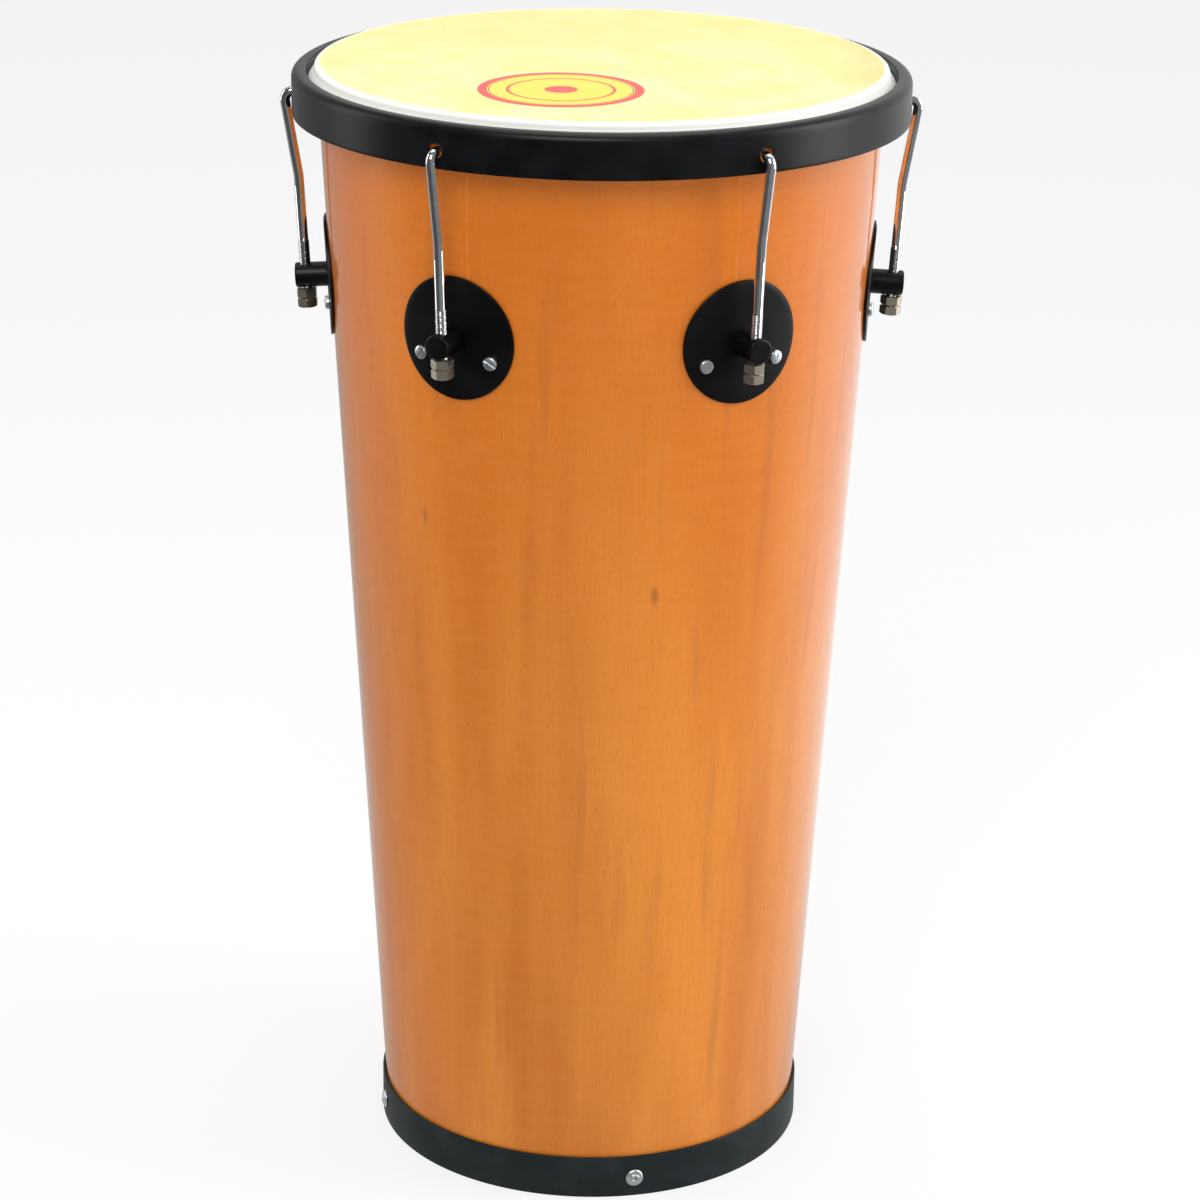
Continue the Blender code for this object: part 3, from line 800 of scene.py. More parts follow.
class Finishes:
    """Every material of the drum, made once."""

    def __init__(self, label_centre: tuple[float, float], label_radius: float) -> None:
        """Makes the materials.

        Args:
            label_centre: the label's centre on the head, in metres.
            label_radius: the label's radius, in metres.
        """
        self.veneer = LacqueredVeneer().material()
        self.plywood = BarePlywood().material()
        self.skin = StretchedSkin().material()
        self.label = PrintedLabel(label_centre, label_radius).material()
        self.hoop = BlackEnamel("black_hoop_enamel").material()
        self.band = BlackEnamel("black_band_enamel", "1A2224", "232B2D", 0.4).material()
        self.lug = BlackEnamel("black_lug_enamel", "060607", "0D0E10", 0.34).material()
        self.chrome = PolishedMetal("chrome_plated_steel", "F0F2F5", "E2E4E8", 0.05).material()
        self.nickel = PolishedMetal("nickel_plated_steel", "E4DCCA", "CFC4AE", 0.26, 0.004).material()
        self.zinc = PolishedMetal("zinc_plated_steel", "F2F5F8", "E2E7EC", 0.3, 0.004).material()
        self.aluminium = PolishedMetal("polished_aluminium", "F6F7F8", "E6E8EA", 0.28, 0.004).material()
        self.rolled_aluminium = PolishedMetal("rolled_aluminium", "C4C6C8", "A6A8AA", 0.4, 0.01).material()


# Geometry Nodes


@dataclass(frozen=True)
class RingPlace:
    """Where copies of a pattern stand round the drum."""

    count: int
    first: float
    step: float
    radius: float
    height: float
    tilt: float
    spin: float = 0.0
    spin_step: float = 0.0


class NodeRecipe:
    """A Geometry Nodes tree with named inputs, applied to a mesh and made plain."""

    def __init__(self, name: str, sockets: dict[str, str]) -> None:
        """Makes the tree's group inputs and output.

        Args:
            name: the tree's name.
            sockets: socket types by input name, besides the geometry and the material.
        """
        self.tree = bpy.data.node_groups.new(name, "GeometryNodeTree")
        self.ids: dict[str, str] = {}
        face = self.tree.interface
        face.new_socket(name="Geometry", in_out="INPUT", socket_type="NodeSocketGeometry")
        for label, kind in {**sockets, "Material": "NodeSocketMaterial"}.items():
            self.ids[label] = face.new_socket(name=label, in_out="INPUT", socket_type=kind).identifier
        face.new_socket(name="Geometry", in_out="OUTPUT", socket_type="NodeSocketGeometry")
        self.source = self.tree.nodes.new("NodeGroupInput").outputs

    def close(self, geometry: bpy.types.NodeSocket) -> None:
        """Ends the tree in Realize Instances and Set Material.

        Args:
            geometry: the finished geometry.
        """
        real = add_node(self.tree, "GeometryNodeRealizeInstances", inputs={"Geometry": geometry})
        dressed = add_node(
            self.tree,
            "GeometryNodeSetMaterial",
            inputs={"Geometry": real.outputs[0], "Material": self.source["Material"]},
        )
        end = self.tree.nodes.new("NodeGroupOutput")
        self.tree.links.new(dressed.outputs[0], end.inputs["Geometry"])

    def math(self, operation: str, *values: object) -> bpy.types.NodeSocket:
        """A math node on one to three values or sockets."""
        return math_node(self.tree, operation, *values)

    def apply(self, name: str, mesh: bpy.types.Mesh, values: dict[str, object]) -> bpy.types.Mesh:
        """Runs the tree on a mesh.

        Args:
            name: the new mesh's name.
            mesh: the mesh that goes in.
            values: the tree's inputs by name.

        Returns:
            The result as a plain mesh.
        """
        obj = bpy.data.objects.new(name, mesh)
        bpy.context.scene.collection.objects.link(obj)
        modifier = obj.modifiers.new(self.tree.name, "NODES")
        modifier.node_group = self.tree
        for label, value in values.items():
            modifier[self.ids[label]] = value
        result = flattened(obj)
        result.name = name
        return result


class CopiesRound(NodeRecipe):
    """Sets copies of a pattern round the drum, each spun on its own axis first."""

    def __init__(self) -> None:
        """Builds the tree."""
        floats = ("first", "step", "radius", "height", "tilt", "spin", "spin_step")
        sockets = {"count": "NodeSocketInt", **{label: "NodeSocketFloat" for label in floats}}
        super().__init__("copies_round_the_drum", sockets)
        source = self.source
        index = add_node(self.tree, "GeometryNodeInputIndex").outputs[0]
        points = add_node(self.tree, "GeometryNodePoints", inputs={"Count": source["count"]})
        copies = add_node(
            self.tree,
            "GeometryNodeInstanceOnPoints",
            inputs={"Points": points.outputs[0], "Instance": source["Geometry"]},
        )
        spin = self.math("MULTIPLY_ADD", index, source["spin_step"], source["spin"])
        azimuth = self.math("MULTIPLY_ADD", index, source["step"], source["first"])
        spun = self._turn(copies.outputs[0], "Z", spin)
        tilted = self._turn(spun, "X", source["tilt"])
        inward = self.math("MULTIPLY", source["radius"], -1.0)
        offset = add_node(self.tree, "ShaderNodeCombineXYZ", inputs={"Y": inward, "Z": source["height"]})
        out = add_node(
            self.tree,
            "GeometryNodeTranslateInstances",
            inputs={"Instances": tilted, "Translation": offset.outputs[0], "Local Space": False},
        )
        self.close(self._turn(out.outputs[0], "Z", azimuth))

    def _turn(
        self, geometry: bpy.types.NodeSocket, axis: str, angle: bpy.types.NodeSocket
    ) -> bpy.types.NodeSocket:
        """Turns the copies about an axis through the origin."""
        euler = add_node(self.tree, "ShaderNodeCombineXYZ", inputs={axis: angle})
        rotation = add_node(self.tree, "FunctionNodeEulerToRotation", inputs={0: euler.outputs[0]})
        node = add_node(
            self.tree,
            "GeometryNodeRotateInstances",
            inputs={"Instances": geometry, "Rotation": rotation.outputs[0], "Local Space": False},
        )
        return node.outputs[0]

    def place(
        self, name: str, mesh: bpy.types.Mesh, ring: RingPlace, material: bpy.types.Material
    ) -> bpy.types.Mesh:
        """Places copies of a mesh.

        Args:
            name: the new mesh's name.
            mesh: the pattern, with Z out of the shell.
            ring: where the copies stand.
            material: their finish.

        Returns:
            All the copies as one mesh.
        """
        return self.apply(name, mesh, {**asdict(ring), "Material": material})


class CutThread(NodeRecipe):
    """Cuts a screw thread into the part of a rod that lies along Z between two heights."""

    def __init__(self) -> None:
        """Builds the tree."""
        floats = ("Pitch", "Depth", "Bottom", "Top", "Reach")
        super().__init__("cut_thread", {label: "NodeSocketFloat" for label in floats})
        source = self.source
        position = add_node(self.tree, "GeometryNodeInputPosition").outputs[0]
        axes = add_node(self.tree, "ShaderNodeSeparateXYZ", inputs={0: position}).outputs
        flat = vector_node(self.tree, "MULTIPLY", position, (1.0, 1.0, 0.0)).outputs[0]
        away = vector_node(self.tree, "LENGTH", flat).outputs["Value"]
        outward = vector_node(self.tree, "NORMALIZE", flat).outputs[0]
        angle = self.math("DIVIDE", self.math("ARCTAN2", axes["Y"], axes["X"]), math.tau)
        turns = self.math("SUBTRACT", self.math("DIVIDE", axes["Z"], source["Pitch"]), angle)
        # Distance from the crest: 0 on the crest and 1 in the root
        groove = self.math("MULTIPLY", self.math("PINGPONG", turns, 0.5), 2.0)
        depth = self.math("MULTIPLY", self.math("MULTIPLY", groove, source["Depth"]), -1.0)
        above = self.math("GREATER_THAN", axes["Z"], source["Bottom"])
        below = self.math("LESS_THAN", axes["Z"], source["Top"])
        near = self.math("LESS_THAN", away, source["Reach"])
        rim = self.math("GREATER_THAN", away, self.math("MULTIPLY", source["Reach"], 0.5))
        level = self.math("MULTIPLY", above, below)
        inside = self.math("MULTIPLY", level, self.math("MULTIPLY", near, rim))
        offset = add_node(
            self.tree,
            "ShaderNodeVectorMath",
            {"operation": "SCALE"},
            {0: outward, "Scale": self.math("MULTIPLY", depth, inside)},
        )
        carved = add_node(
            self.tree,
            "GeometryNodeSetPosition",
            inputs={"Geometry": source["Geometry"], "Offset": offset.outputs[0]},
        )
        self.close(carved.outputs[0])


# Sub-assemblies


class SubAssembly:
    """Something that makes finished pieces and sets them on their bodies."""

    def __init__(self, finishes: Finishes) -> None:
        """Keeps the materials."""
        self.finishes = finishes

    def add(
        self,
        name: str,
        mesh: bpy.types.Mesh,
        body: str,
        slot: Slot | None,
        replaced: Sequence[str],
        material: bpy.types.Material | None = None,
    ) -> None:
        """Adds one finished piece.

        Args:
            name: the piece's name.
            mesh: its mesh, in the frame's own coordinates.
            body: the body that it rides on.
            slot: the record's material slot that it follows; not used.
            replaced: CAD nodes that it stands for.
            material: its finish, if the mesh has none yet.
        """
        obj = bpy.data.objects.new(name, mesh)
        bpy.context.scene.collection.objects.link(obj)
        if material is not None:
            mesh.materials.clear()
            mesh.materials.append(material)
        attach(obj, body)
        if replaced:
            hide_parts(*replaced)
        LOG.info("%s: %d faces on %s", name, len(mesh.polygons), body)


@dataclass
class ShellSizes:
    """Sizes of the shell, in metres."""

    bearing_flat: float = 1.0 * MM
    bearing_bevel: float = 4.0 * MM
    foot_edge: float = 0.6 * MM
    rows: int = 60


class Shell(SubAssembly):
    """The tapered plywood shell."""

    def __init__(self, finishes: Finishes, sizes: ShellSizes) -> None:
        """Keeps the materials and sizes."""
        super().__init__(finishes)
        self.sizes = sizes

    def build(self, holes: bpy.types.Mesh) -> None:
        """Makes the shell.

        Args:
            holes: cutters for every hole in it.
        """
        size = self.sizes
        crest = SHELL_TOP_RADIUS - BEARING_ROUND
        bevel = SHELL_HEIGHT - size.bearing_bevel
        edge = size.foot_edge
        inner = shell_radius(bevel) - SHELL_WALL
        outline = arc((crest, SHELL_HEIGHT - BEARING_ROUND), BEARING_ROUND, 90, 0, ARC_STEPS)
        outline += line(outline[-1], (SHELL_FOOT_RADIUS, edge), size.rows)[1:]
        outline += [(SHELL_FOOT_RADIUS - edge, 0.0), (SHELL_FOOT_RADIUS - SHELL_WALL + edge, 0.0)]
        outline += line((SHELL_FOOT_RADIUS - SHELL_WALL, edge), (inner, bevel), size.rows)
        outline.append((crest - size.bearing_flat, SHELL_HEIGHT))
        mesh = turned("shell_visual", outline, RING_STEPS, True)
        mesh = combined("shell_visual", mesh, [("DIFFERENCE", holes)])
        mesh.materials.clear()
        mesh.materials.append(self.finishes.veneer)
        mesh.materials.append(self.finishes.plywood)
        for face in mesh.polygons:
            middle = Vector(face.center)
            across = math.hypot(middle.x, middle.y)
            outside = shell_radius(middle.z) - across < BEARING_ROUND / 2
            face.material_index = 0 if outside and middle.z > edge else 1
        self.add("lacquered_shell", mesh, Body.DRUM.value, Slot.PLYWOOD, ["shell"])


@dataclass
class HeadSizes:
    """Sizes of the head and its label, in metres."""

    skin: float = 0.6 * MM
    sunk: float = 0.15 * MM
    flare: float = 6.0 * MM
    crown_start: float = 86.0
    collar_radius: float = 152.7 * MM
    collar_end: float = 588.7 * MM
    label_centre: tuple[float, float] = (-20.5 * MM, -72.5 * MM)
    label_radius: float = 42.0 * MM
    label_sheet: float = 0.1 * MM
    label_gap: float = 0.02 * MM
    rings: int = 24


class Head(SubAssembly):
    """The skin, with its plain printed label."""

    def __init__(self, finishes: Finishes, sizes: HeadSizes) -> None:
        """Keeps the materials and sizes."""
        super().__init__(finishes)
        self.sizes = sizes

    def build(self) -> None:
        """Makes the skin and the label."""
        self._skin()
        self._label()

    def _outline(self, offset: float) -> Profile:
        """One face of the skin, from the middle out and down the collar.

        Args:
            offset: distance inwards from the outer face.

        Returns:
            The points.
        """
        size = self.sizes
        crown = BEARING_ROUND + SEAT_GAP + size.skin
        top = HEAD_TOP - size.sunk
        centre = (SHELL_TOP_RADIUS - BEARING_ROUND, HEAD_TOP - crown)
        points = line((0.0, top - offset), (centre[0], top - offset), size.rings)
        points += arc(centre, crown - offset, size.crown_start, 0, ARC_STEPS)[1:]
        start = points[-1][0]
        end = size.collar_radius - offset
        for i in range(1, ARC_STEPS + 1):
            share = i / ARC_STEPS
            eased = share * share * (3.0 - 2.0 * share)
            points.append((start + (end - start) * eased, centre[1] - size.flare * share))
        points += line(points[-1], (end, size.collar_end), COLLAR_ROWS)[1:]
        return points

    def _skin(self) -> None:
        """Makes the stretched skin."""
        outline = self._outline(0.0) + self._outline(self.sizes.skin)[::-1]
        mesh = turned("skin_visual", outline, RING_STEPS, False, SKIN_SHARP_ANGLE)
        skin = self.finishes.skin
        self.add("stretched_head", mesh, Body.DRUM.value, Slot.SKIN, ["drum_head"], skin)

    def _label(self) -> None:
        """Makes the thin label, just above the skin."""
        size = self.sizes
        bottom = HEAD_TOP - size.sunk + size.label_gap
        top = bottom + size.label_sheet
        radius = size.label_radius
        bevel = size.label_sheet / 2
        outline = line((0.0, top), (radius - bevel, top), LABEL_ROWS)
        outline += [(radius, top - bevel), (radius, bottom), (0.0, bottom)]
        mesh = turned("label_visual", outline, DISC_STEPS, False)
        moved(mesh, Matrix.Translation((*size.label_centre, 0.0)))
        self.add("plain_label", mesh, Body.DRUM.value, None, [], self.finishes.label)


@dataclass
class HoopSizes:
    """Sizes of the two hoops, in metres."""

    corner: float = 4.0 * MM
    lip: float = 153.9 * MM
    edge: float = 0.35 * MM
    hole_radius: float = 4.0 * MM
    hole_height: float = 583.3 * MM
    hole_reach: float = 4.0 * MM
    rows: int = 12
    flesh_wall: float = 1.2 * MM
    flesh_inner: float = 150.4 * MM
    flesh_outer: float = 157.2 * MM
    flesh_step: float = 588.8 * MM


class Hoops(SubAssembly):
    """The black tension hoop and the flesh hoop under it."""

    def __init__(self, finishes: Finishes, sizes: HoopSizes) -> None:
        """Keeps the materials and sizes."""
        super().__init__(finishes)
        self.sizes = sizes

    def build(self) -> None:
        """Makes both hoops."""
        self._tension_hoop()
        self._flesh_hoop()

    def _tension_hoop(self) -> None:
        """Makes the rolled angle with its hook holes."""
        size = self.sizes
        corner = (HOOP_OUTER_RADIUS - size.corner, HOOP_TOP - size.corner)
        edge = size.edge
        inner = HOOP_OUTER_RADIUS - HOOP_SHEET
        outline = arc(corner, size.corner, 90, 0, ARC_STEPS)
        outline += line(outline[-1], (HOOP_OUTER_RADIUS, HOOP_BOTTOM + edge), size.rows)[1:]
        low = HOOP_BOTTOM + edge
        outline += arc((HOOP_OUTER_RADIUS - edge, low), edge, 0, -90, EDGE_STEPS)[1:]
        outline += arc((inner + edge, low), edge, -90, -180, EDGE_STEPS)
        outline += line((inner, low), (inner, corner[1]), size.rows)[1:]
        outline += arc(corner, size.corner - HOOP_SHEET, 0, 90, ARC_STEPS)[1:]
        lip = size.lip + edge
        outline += arc((lip, HOOP_TOP - HOOP_SHEET + edge), edge, 270, 180, EDGE_STEPS)
        outline += arc((lip, HOOP_TOP - edge), edge, 180, 90, EDGE_STEPS)
        mesh = turned("tension_hoop_visual", outline, RING_STEPS, True)
        cutter = peg(size.hole_radius, -size.hole_reach, size.hole_reach, FASTENER_STEPS)
        ring = RingPlace(
            LUG_COUNT, LUG_FIRST, LUG_STEP, HOOP_OUTER_RADIUS, size.hole_height, math.pi / 2
        )
        holes = COPIES.place("hook_holes", cutter, ring, self.finishes.hoop)
        mesh = combined("tension_hoop_visual", mesh, [("DIFFERENCE", holes)])
        self.add(
            "enamelled_hoop",
            mesh,
            Body.HOOPS.value,
            Slot.ENAMEL,
            ["tension_hoop"],
            self.finishes.hoop,
        )

    def _flesh_hoop(self) -> None:
        """Makes the slotted ring that holds the collar."""
        size = self.sizes
        wall = size.flesh_wall
        outline = [
            (size.flesh_outer, FLESH_TOP),
            (size.flesh_outer, FLESH_BOTTOM),
            (size.flesh_inner, FLESH_BOTTOM),
            (size.flesh_inner, size.flesh_step),
            (size.flesh_inner + wall, size.flesh_step),
            (size.flesh_inner + wall, FLESH_BOTTOM + wall),
            (size.flesh_outer - wall, FLESH_BOTTOM + wall),
            (size.flesh_outer - wall, FLESH_TOP),
        ]
        mesh = turned("flesh_hoop_visual", outline, RING_STEPS, True)
        metal = self.finishes.rolled_aluminium
        hoops = Body.HOOPS.value
        self.add("slotted_flesh_hoop", mesh, hoops, Slot.FLESH_HOOP, ["flesh_hoop"], metal)


@dataclass
class FootSizes:
    """Sizes of the foot band and its rivets, in metres."""

    sheet: float = 1.2 * MM
    edge: float = 0.3 * MM
    rivet_count: int = 4
    rivet_first: float = math.radians(12.5)
    rivet_height: float = 11.0 * MM
    head_radius: float = 4.9 * MM
    head_rise: float = 1.7 * MM
    shank_radius: float = 2.4 * MM
    bore_radius: float = 1.35 * MM
    bore_depth: float = 2.6 * MM
    tail_radius: float = 3.5 * MM
    tail_length: float = 4.0 * MM
    tail_full: float = 0.6
    hole_out: float = 4.0 * MM
    hole_in: float = 14.0 * MM
    rim_start: float = 0.15 * MM
    rim_end: float = 0.75 * MM
    rim_drop: float = 0.2 * MM
    groove_start: float = 0.9 * MM
    groove_end: float = 1.15 * MM
    groove_drop: float = 0.18 * MM
    groove_end_drop: float = 0.05 * MM
    dome_share: float = 0.95
    dome_fullness: float = 0.8
    dome_angles: range = range(36, 90, 9)


class Foot(SubAssembly):
    """The black band round the foot and its blind rivets."""

    def __init__(self, finishes: Finishes, sizes: FootSizes) -> None:
        """Keeps the materials and sizes."""
        super().__init__(finishes)
        self.sizes = sizes

    def ring(self) -> RingPlace:
        """Where the rivets stand."""
        size = self.sizes
        step = math.tau / size.rivet_count
        return RingPlace(
            size.rivet_count, size.rivet_first, step, BAND_RADIUS, size.rivet_height, math.pi / 2
        )

    def holes(self) -> bpy.types.Mesh:
        """Cutters through the band and the shell for the rivets."""
        size = self.sizes
        radius = size.shank_radius + SEAT_GAP
        cutter = peg(radius, -size.hole_in, size.hole_out, RIVET_HOLE_STEPS)
        return COPIES.place("rivet_holes", cutter, self.ring(), self.finishes.plywood)

    def build(self) -> None:
        """Makes the band and the rivets."""
        size = self.sizes
        outline = ring_section(BAND_RADIUS - size.sheet, BAND_RADIUS, 0.0, BAND_TOP, size.edge)
        mesh = turned("foot_band_visual", outline, RING_STEPS, True)
        mesh = combined("foot_band_visual", mesh, [("DIFFERENCE", self.holes())])
        drum = Body.DRUM.value
        black = self.finishes.band
        self.add("enamelled_foot_band", mesh, drum, Slot.ENAMEL, ["foot_band"], black)
        nodes = [f"foot_band_rivet_{n}" for n in range(1, size.rivet_count + 1)]
        rivets = COPIES.place("foot_rivets", self._rivet(), self.ring(), self.finishes.aluminium)
        self.add("foot_rivets", rivets, drum, Slot.ALUMINIUM, nodes)

    def _rivet(self) -> bpy.types.Mesh:
        """One blind rivet, with a groove round its pulled mandrel hole."""
        size = self.sizes
        seat = shell_radius(size.rivet_height) - SHELL_WALL - CURVED_SEAT_GAP - BAND_RADIUS
        end = seat - size.tail_length
        crown = SEAT_GAP + size.head_rise
        head = size.head_radius
        bore = size.bore_radius
        outline = [
            (0.0, crown - size.bore_depth),
            (bore, crown - size.bore_depth),
            (bore, crown - size.rim_drop),
            (bore + size.rim_start, crown),
            (bore + size.rim_end, crown),
            (bore + size.groove_start, crown - size.groove_drop),
            (bore + size.groove_end, crown - size.groove_end_drop),
        ]
        rise = size.head_rise * size.dome_share
        outline += dome(head, SEAT_GAP, rise, size.dome_fullness, size.dome_angles)
        outline += [
            (head, SEAT_GAP),
            (size.shank_radius, SEAT_GAP),
            (size.shank_radius, seat),
            (size.tail_radius, seat),
            (size.tail_radius, seat - size.tail_length * size.tail_full),
            (bore, end),
            (0.0, end),
        ]
        return turned("rivet_pattern", outline, FASTENER_STEPS, False)


@dataclass
class LugSizes:
    """Sizes of a lug, in metres, in its own frame: X round the shell, Y up it, Z out of it."""

    plate_radius: float = 32.2 * MM
    plate_edge: float = 0.4 * MM
    plate_cut: float = 8.0 * MM
    post_radius: float = 6.6 * MM
    post_length: float = 16.8 * MM
    post_chamfer: float = 1.0 * MM
    post_chamfer_start: float = 78.0
    bore_web: float = 0.9 * MM
    rod_standoff: float = 13.5 * MM
    rod_radius: float = 2.65 * MM
    thread_radius: float = 2.95 * MM
    rod_gap: float = 0.35 * MM
    thread_pitch: float = 1.0 * MM
    thread_depth: float = 0.5 * MM
    thread_shown: float = 12.0 * MM
    thread_start: float = 0.3 * MM
    thread_runout: float = 0.4 * MM
    tip_chamfer: float = 0.45 * MM
    tip_edge: float = 0.02 * MM
    dogleg_share: float = 0.468
    dogleg_radius: float = 18.0 * MM
    hook_standoff: float = 1.3 * MM
    hook_bend: float = 4.5 * MM
    hook_tongue: float = 6.3 * MM
    hook_tip_round: float = 1.0 * MM
    hook_gap: float = 0.3 * MM
    nut_flats: float = 10.0 * MM
    nut_height: float = 5.0 * MM
    nut_sink: float = 0.45 * MM
    nut_face: float = 0.94
    corner_slope: float = math.radians(30.0)
    tip_recess: float = 1.0 * MM
    bolt_radius: float = 3.0 * MM
    bolt_tip: float = 0.5 * MM
    washer_radius: float = 6.0 * MM
    washer_sheet: float = 1.2 * MM
    washer_edge: float = 0.2 * MM
    bolt_head_flats: float = 10.0 * MM
    bolt_head_height: float = 4.0 * MM
    bolt_head_overlap: float = 0.5 * MM
    shank_in_head: float = 1.0 * MM
    screw_sideways: float = 20.0 * MM
    screw_drop: float = 10.3 * MM
    screw_radius: float = 2.0 * MM
    screw_head_radius: float = 3.6 * MM
    screw_head_rise: float = 2.2 * MM
    pan_rim: float = 0.4
    pan_fullness: float = 0.55
    pan_angles: range = range(15, 90, 10)
    slot_width: float = 1.0 * MM
    slot_depth: float = 1.0 * MM
    screw_nut_flats: float = 7.0 * MM
    screw_nut_height: float = 3.2 * MM
    screw_tip: float = 1.5 * MM
    screw_tip_chamfer: float = 0.4 * MM
    slot_turn: float = math.radians(50.0)
    nut_turn: float = math.radians(30.0)


class Lugs(SubAssembly):
    """Six lugs, each with plate, post, bolt, screws, hook and nuts."""

    def __init__(self, finishes: Finishes, sizes: LugSizes) -> None:
        """Keeps the materials and sizes."""
        super().__init__(finishes)
        self.sizes = sizes
        self.rod_hole = sizes.thread_radius + sizes.rod_gap
        standoff = Matrix.Translation((0.0, 0.0, sizes.rod_standoff))
        self.across = standoff @ Matrix.Rotation(-math.pi / 2, 4, "X")

    def ring(self, first: int = 1, count: int = LUG_COUNT) -> RingPlace:
        """Where the lugs stand, or one of them."""
        azimuth = LUG_FIRST + (first - 1) * LUG_STEP
        radius = shell_radius(LUG_HEIGHT)
        return RingPlace(count, azimuth, LUG_STEP, radius, LUG_HEIGHT, LUG_TILT)

    def screw_ring(self, side: int) -> RingPlace:
        """Where the screws on one side of the posts stand; side is -1 or 1."""
        size = self.sizes
        height = LUG_HEIGHT - size.screw_drop * math.cos(TAPER)
        radius = shell_radius(height)
        first = LUG_FIRST + side * size.screw_sideways / radius
        spin = size.slot_turn * (2 + side)
        spin_step = 2 * size.slot_turn
        return RingPlace(LUG_COUNT, first, LUG_STEP, radius, height, LUG_TILT, spin, spin_step)

    def shell_holes(self) -> list[bpy.types.Mesh]:
        """Cutters through the shell for the bolts and the screws."""
        size = self.sizes
        past = 2 * SHELL_WALL
        wood = self.finishes.plywood
        bolt = peg(size.bolt_radius + SEAT_GAP, -past, past)
        holes = [COPIES.place("bolt_holes", bolt, self.ring(), wood)]
        for side in (-1, 1):
            screw = peg(size.screw_radius + SEAT_GAP, -past, past)
            holes.append(COPIES.place("screw_holes", screw, self.screw_ring(side), wood))
        return holes

    def build(self) -> None:
        """Makes the lugs."""
        drum = Body.DRUM.value
        black = self.finishes.lug
        zinc = self.finishes.zinc
        every = range(1, LUG_COUNT + 1)
        patterns = (
            ("lug_plate", self._plate(), Slot.ENAMEL, black),
            ("lug_post", self._post(), Slot.ENAMEL, black),
            ("lug_bolt", self._bolt(), Slot.ZINC, zinc),
        )
        for word, pattern, slot, finish in patterns:
            mesh = COPIES.place(f"{word}s", pattern, self.ring(), finish)
            self.add(f"{word}s", mesh, drum, slot, [f"{word}_{n}" for n in every])
        for side, word in ((-1, "left"), (1, "right")):
            screws = COPIES.place("plate_screws", self._screw(), self.screw_ring(side), zinc)
            nodes = [f"plate_screw_{word}_{n}" for n in every]
            self.add(f"plate_screws_{word}", screws, drum, Slot.ZINC, nodes)
        hook = self._hook()
        nut = self._nut()
        for number in every:
            ring = self.ring(number, 1)
            rod = COPIES.place(f"hook_{number}", hook.copy(), ring, self.finishes.chrome)
            body = Body.HOOK.numbered(number)
            self.add(f"chromed_hook_{number}", rod, body, Slot.CHROME, [f"tension_hook_{number}"])
            self._add_nuts(number, nut, ring)

    def _add_nuts(self, number: int, nut: bpy.types.Mesh, ring: RingPlace) -> None:
        """Adds a lug's tension nut and lock nut."""
        size = self.sizes
        upper = -(size.post_radius + SEAT_GAP)
        lower = upper - size.nut_height - SEAT_GAP
        turn = Matrix.Rotation(size.nut_turn * (number % 2), 4, "Z")
        body = Body.NUTS.numbered(number)
        for word, top in (("tension_nut", upper), ("lock_nut", lower)):
            place = self.across @ Matrix.Translation((0.0, 0.0, top)) @ turn
            mesh = moved(nut.copy(), place)
            made = COPIES.place(f"{word}_{number}", mesh, ring, self.finishes.nickel)
            self.add(f"nickel_{word}_{number}", made, body, Slot.NICKEL, [f"{word}_{number}"])

    def _plate(self) -> bpy.types.Mesh:
        """The round plate, rolled to the shell, with three holes."""
        size = self.sizes
        edge = size.plate_edge
        radius = size.plate_radius
        outline = line((0.0, PLATE_SHEET), (radius - edge, PLATE_SHEET), PLATE_ROWS)
        outline += arc((radius - edge, PLATE_SHEET - edge), edge, 90, 0, EDGE_STEPS)[1:]
        outline += arc((radius - edge, edge), edge, 0, -90, EDGE_STEPS)
        outline += line((radius - edge, 0.0), (0.0, 0.0), PLATE_ROWS)[1:]
        disc = turned("plate_pattern", outline, DISC_STEPS, False)
        back = surface_frame(0.0, LUG_HEIGHT).inverted()
        for vertex in disc.vertices:
            height = LUG_HEIGHT + vertex.co.y * math.cos(TAPER)
            azimuth = vertex.co.x / shell_radius(height)
            outward = Vector((0.0, 0.0, SEAT_GAP + vertex.co.z))
            on_shell = surface_frame(azimuth, height) @ outward
            vertex.co = back @ on_shell
        past = size.plate_cut
        tools = [("DIFFERENCE", peg(size.bolt_radius + SEAT_GAP, -past, past))]
        for side in (-1, 1):
            ring = self.screw_ring(side)
            place = back @ surface_frame(side * size.screw_sideways / ring.radius, ring.height)
            screw = moved(peg(size.screw_radius + SEAT_GAP, -past, past), place)
            tools.append(("DIFFERENCE", screw))
        return combined("plate_pattern", disc, tools)

    def _post(self) -> bpy.types.Mesh:
        """The turned post with its cross hole and the bore for its bolt."""
        size = self.sizes
        end = POST_BASE + size.post_length
        radius = size.post_radius
        chamfer = size.post_chamfer
        centre = (radius - chamfer, end - chamfer)
        outline = line((0.0, end), (centre[0], end), POST_END_ROWS)
        outline += arc(centre, chamfer, size.post_chamfer_start, 0, TIP_STEPS)
        outline += line((radius, centre[1]), (radius, POST_BASE), POST_SIDE_ROWS)[1:]
        outline.append((0.0, POST_BASE))
        post = turned("post_pattern", outline, PIECE_STEPS, False)
        reach = 2 * radius
        rod_hole = moved(peg(self.rod_hole, -reach, reach), self.across)
        tip = size.rod_standoff - self.rod_hole - size.bore_web
        bore = peg(size.bolt_radius + SEAT_GAP, 0.0, tip)
        return combined("post_pattern", post, [("DIFFERENCE", rod_hole), ("DIFFERENCE", bore)])

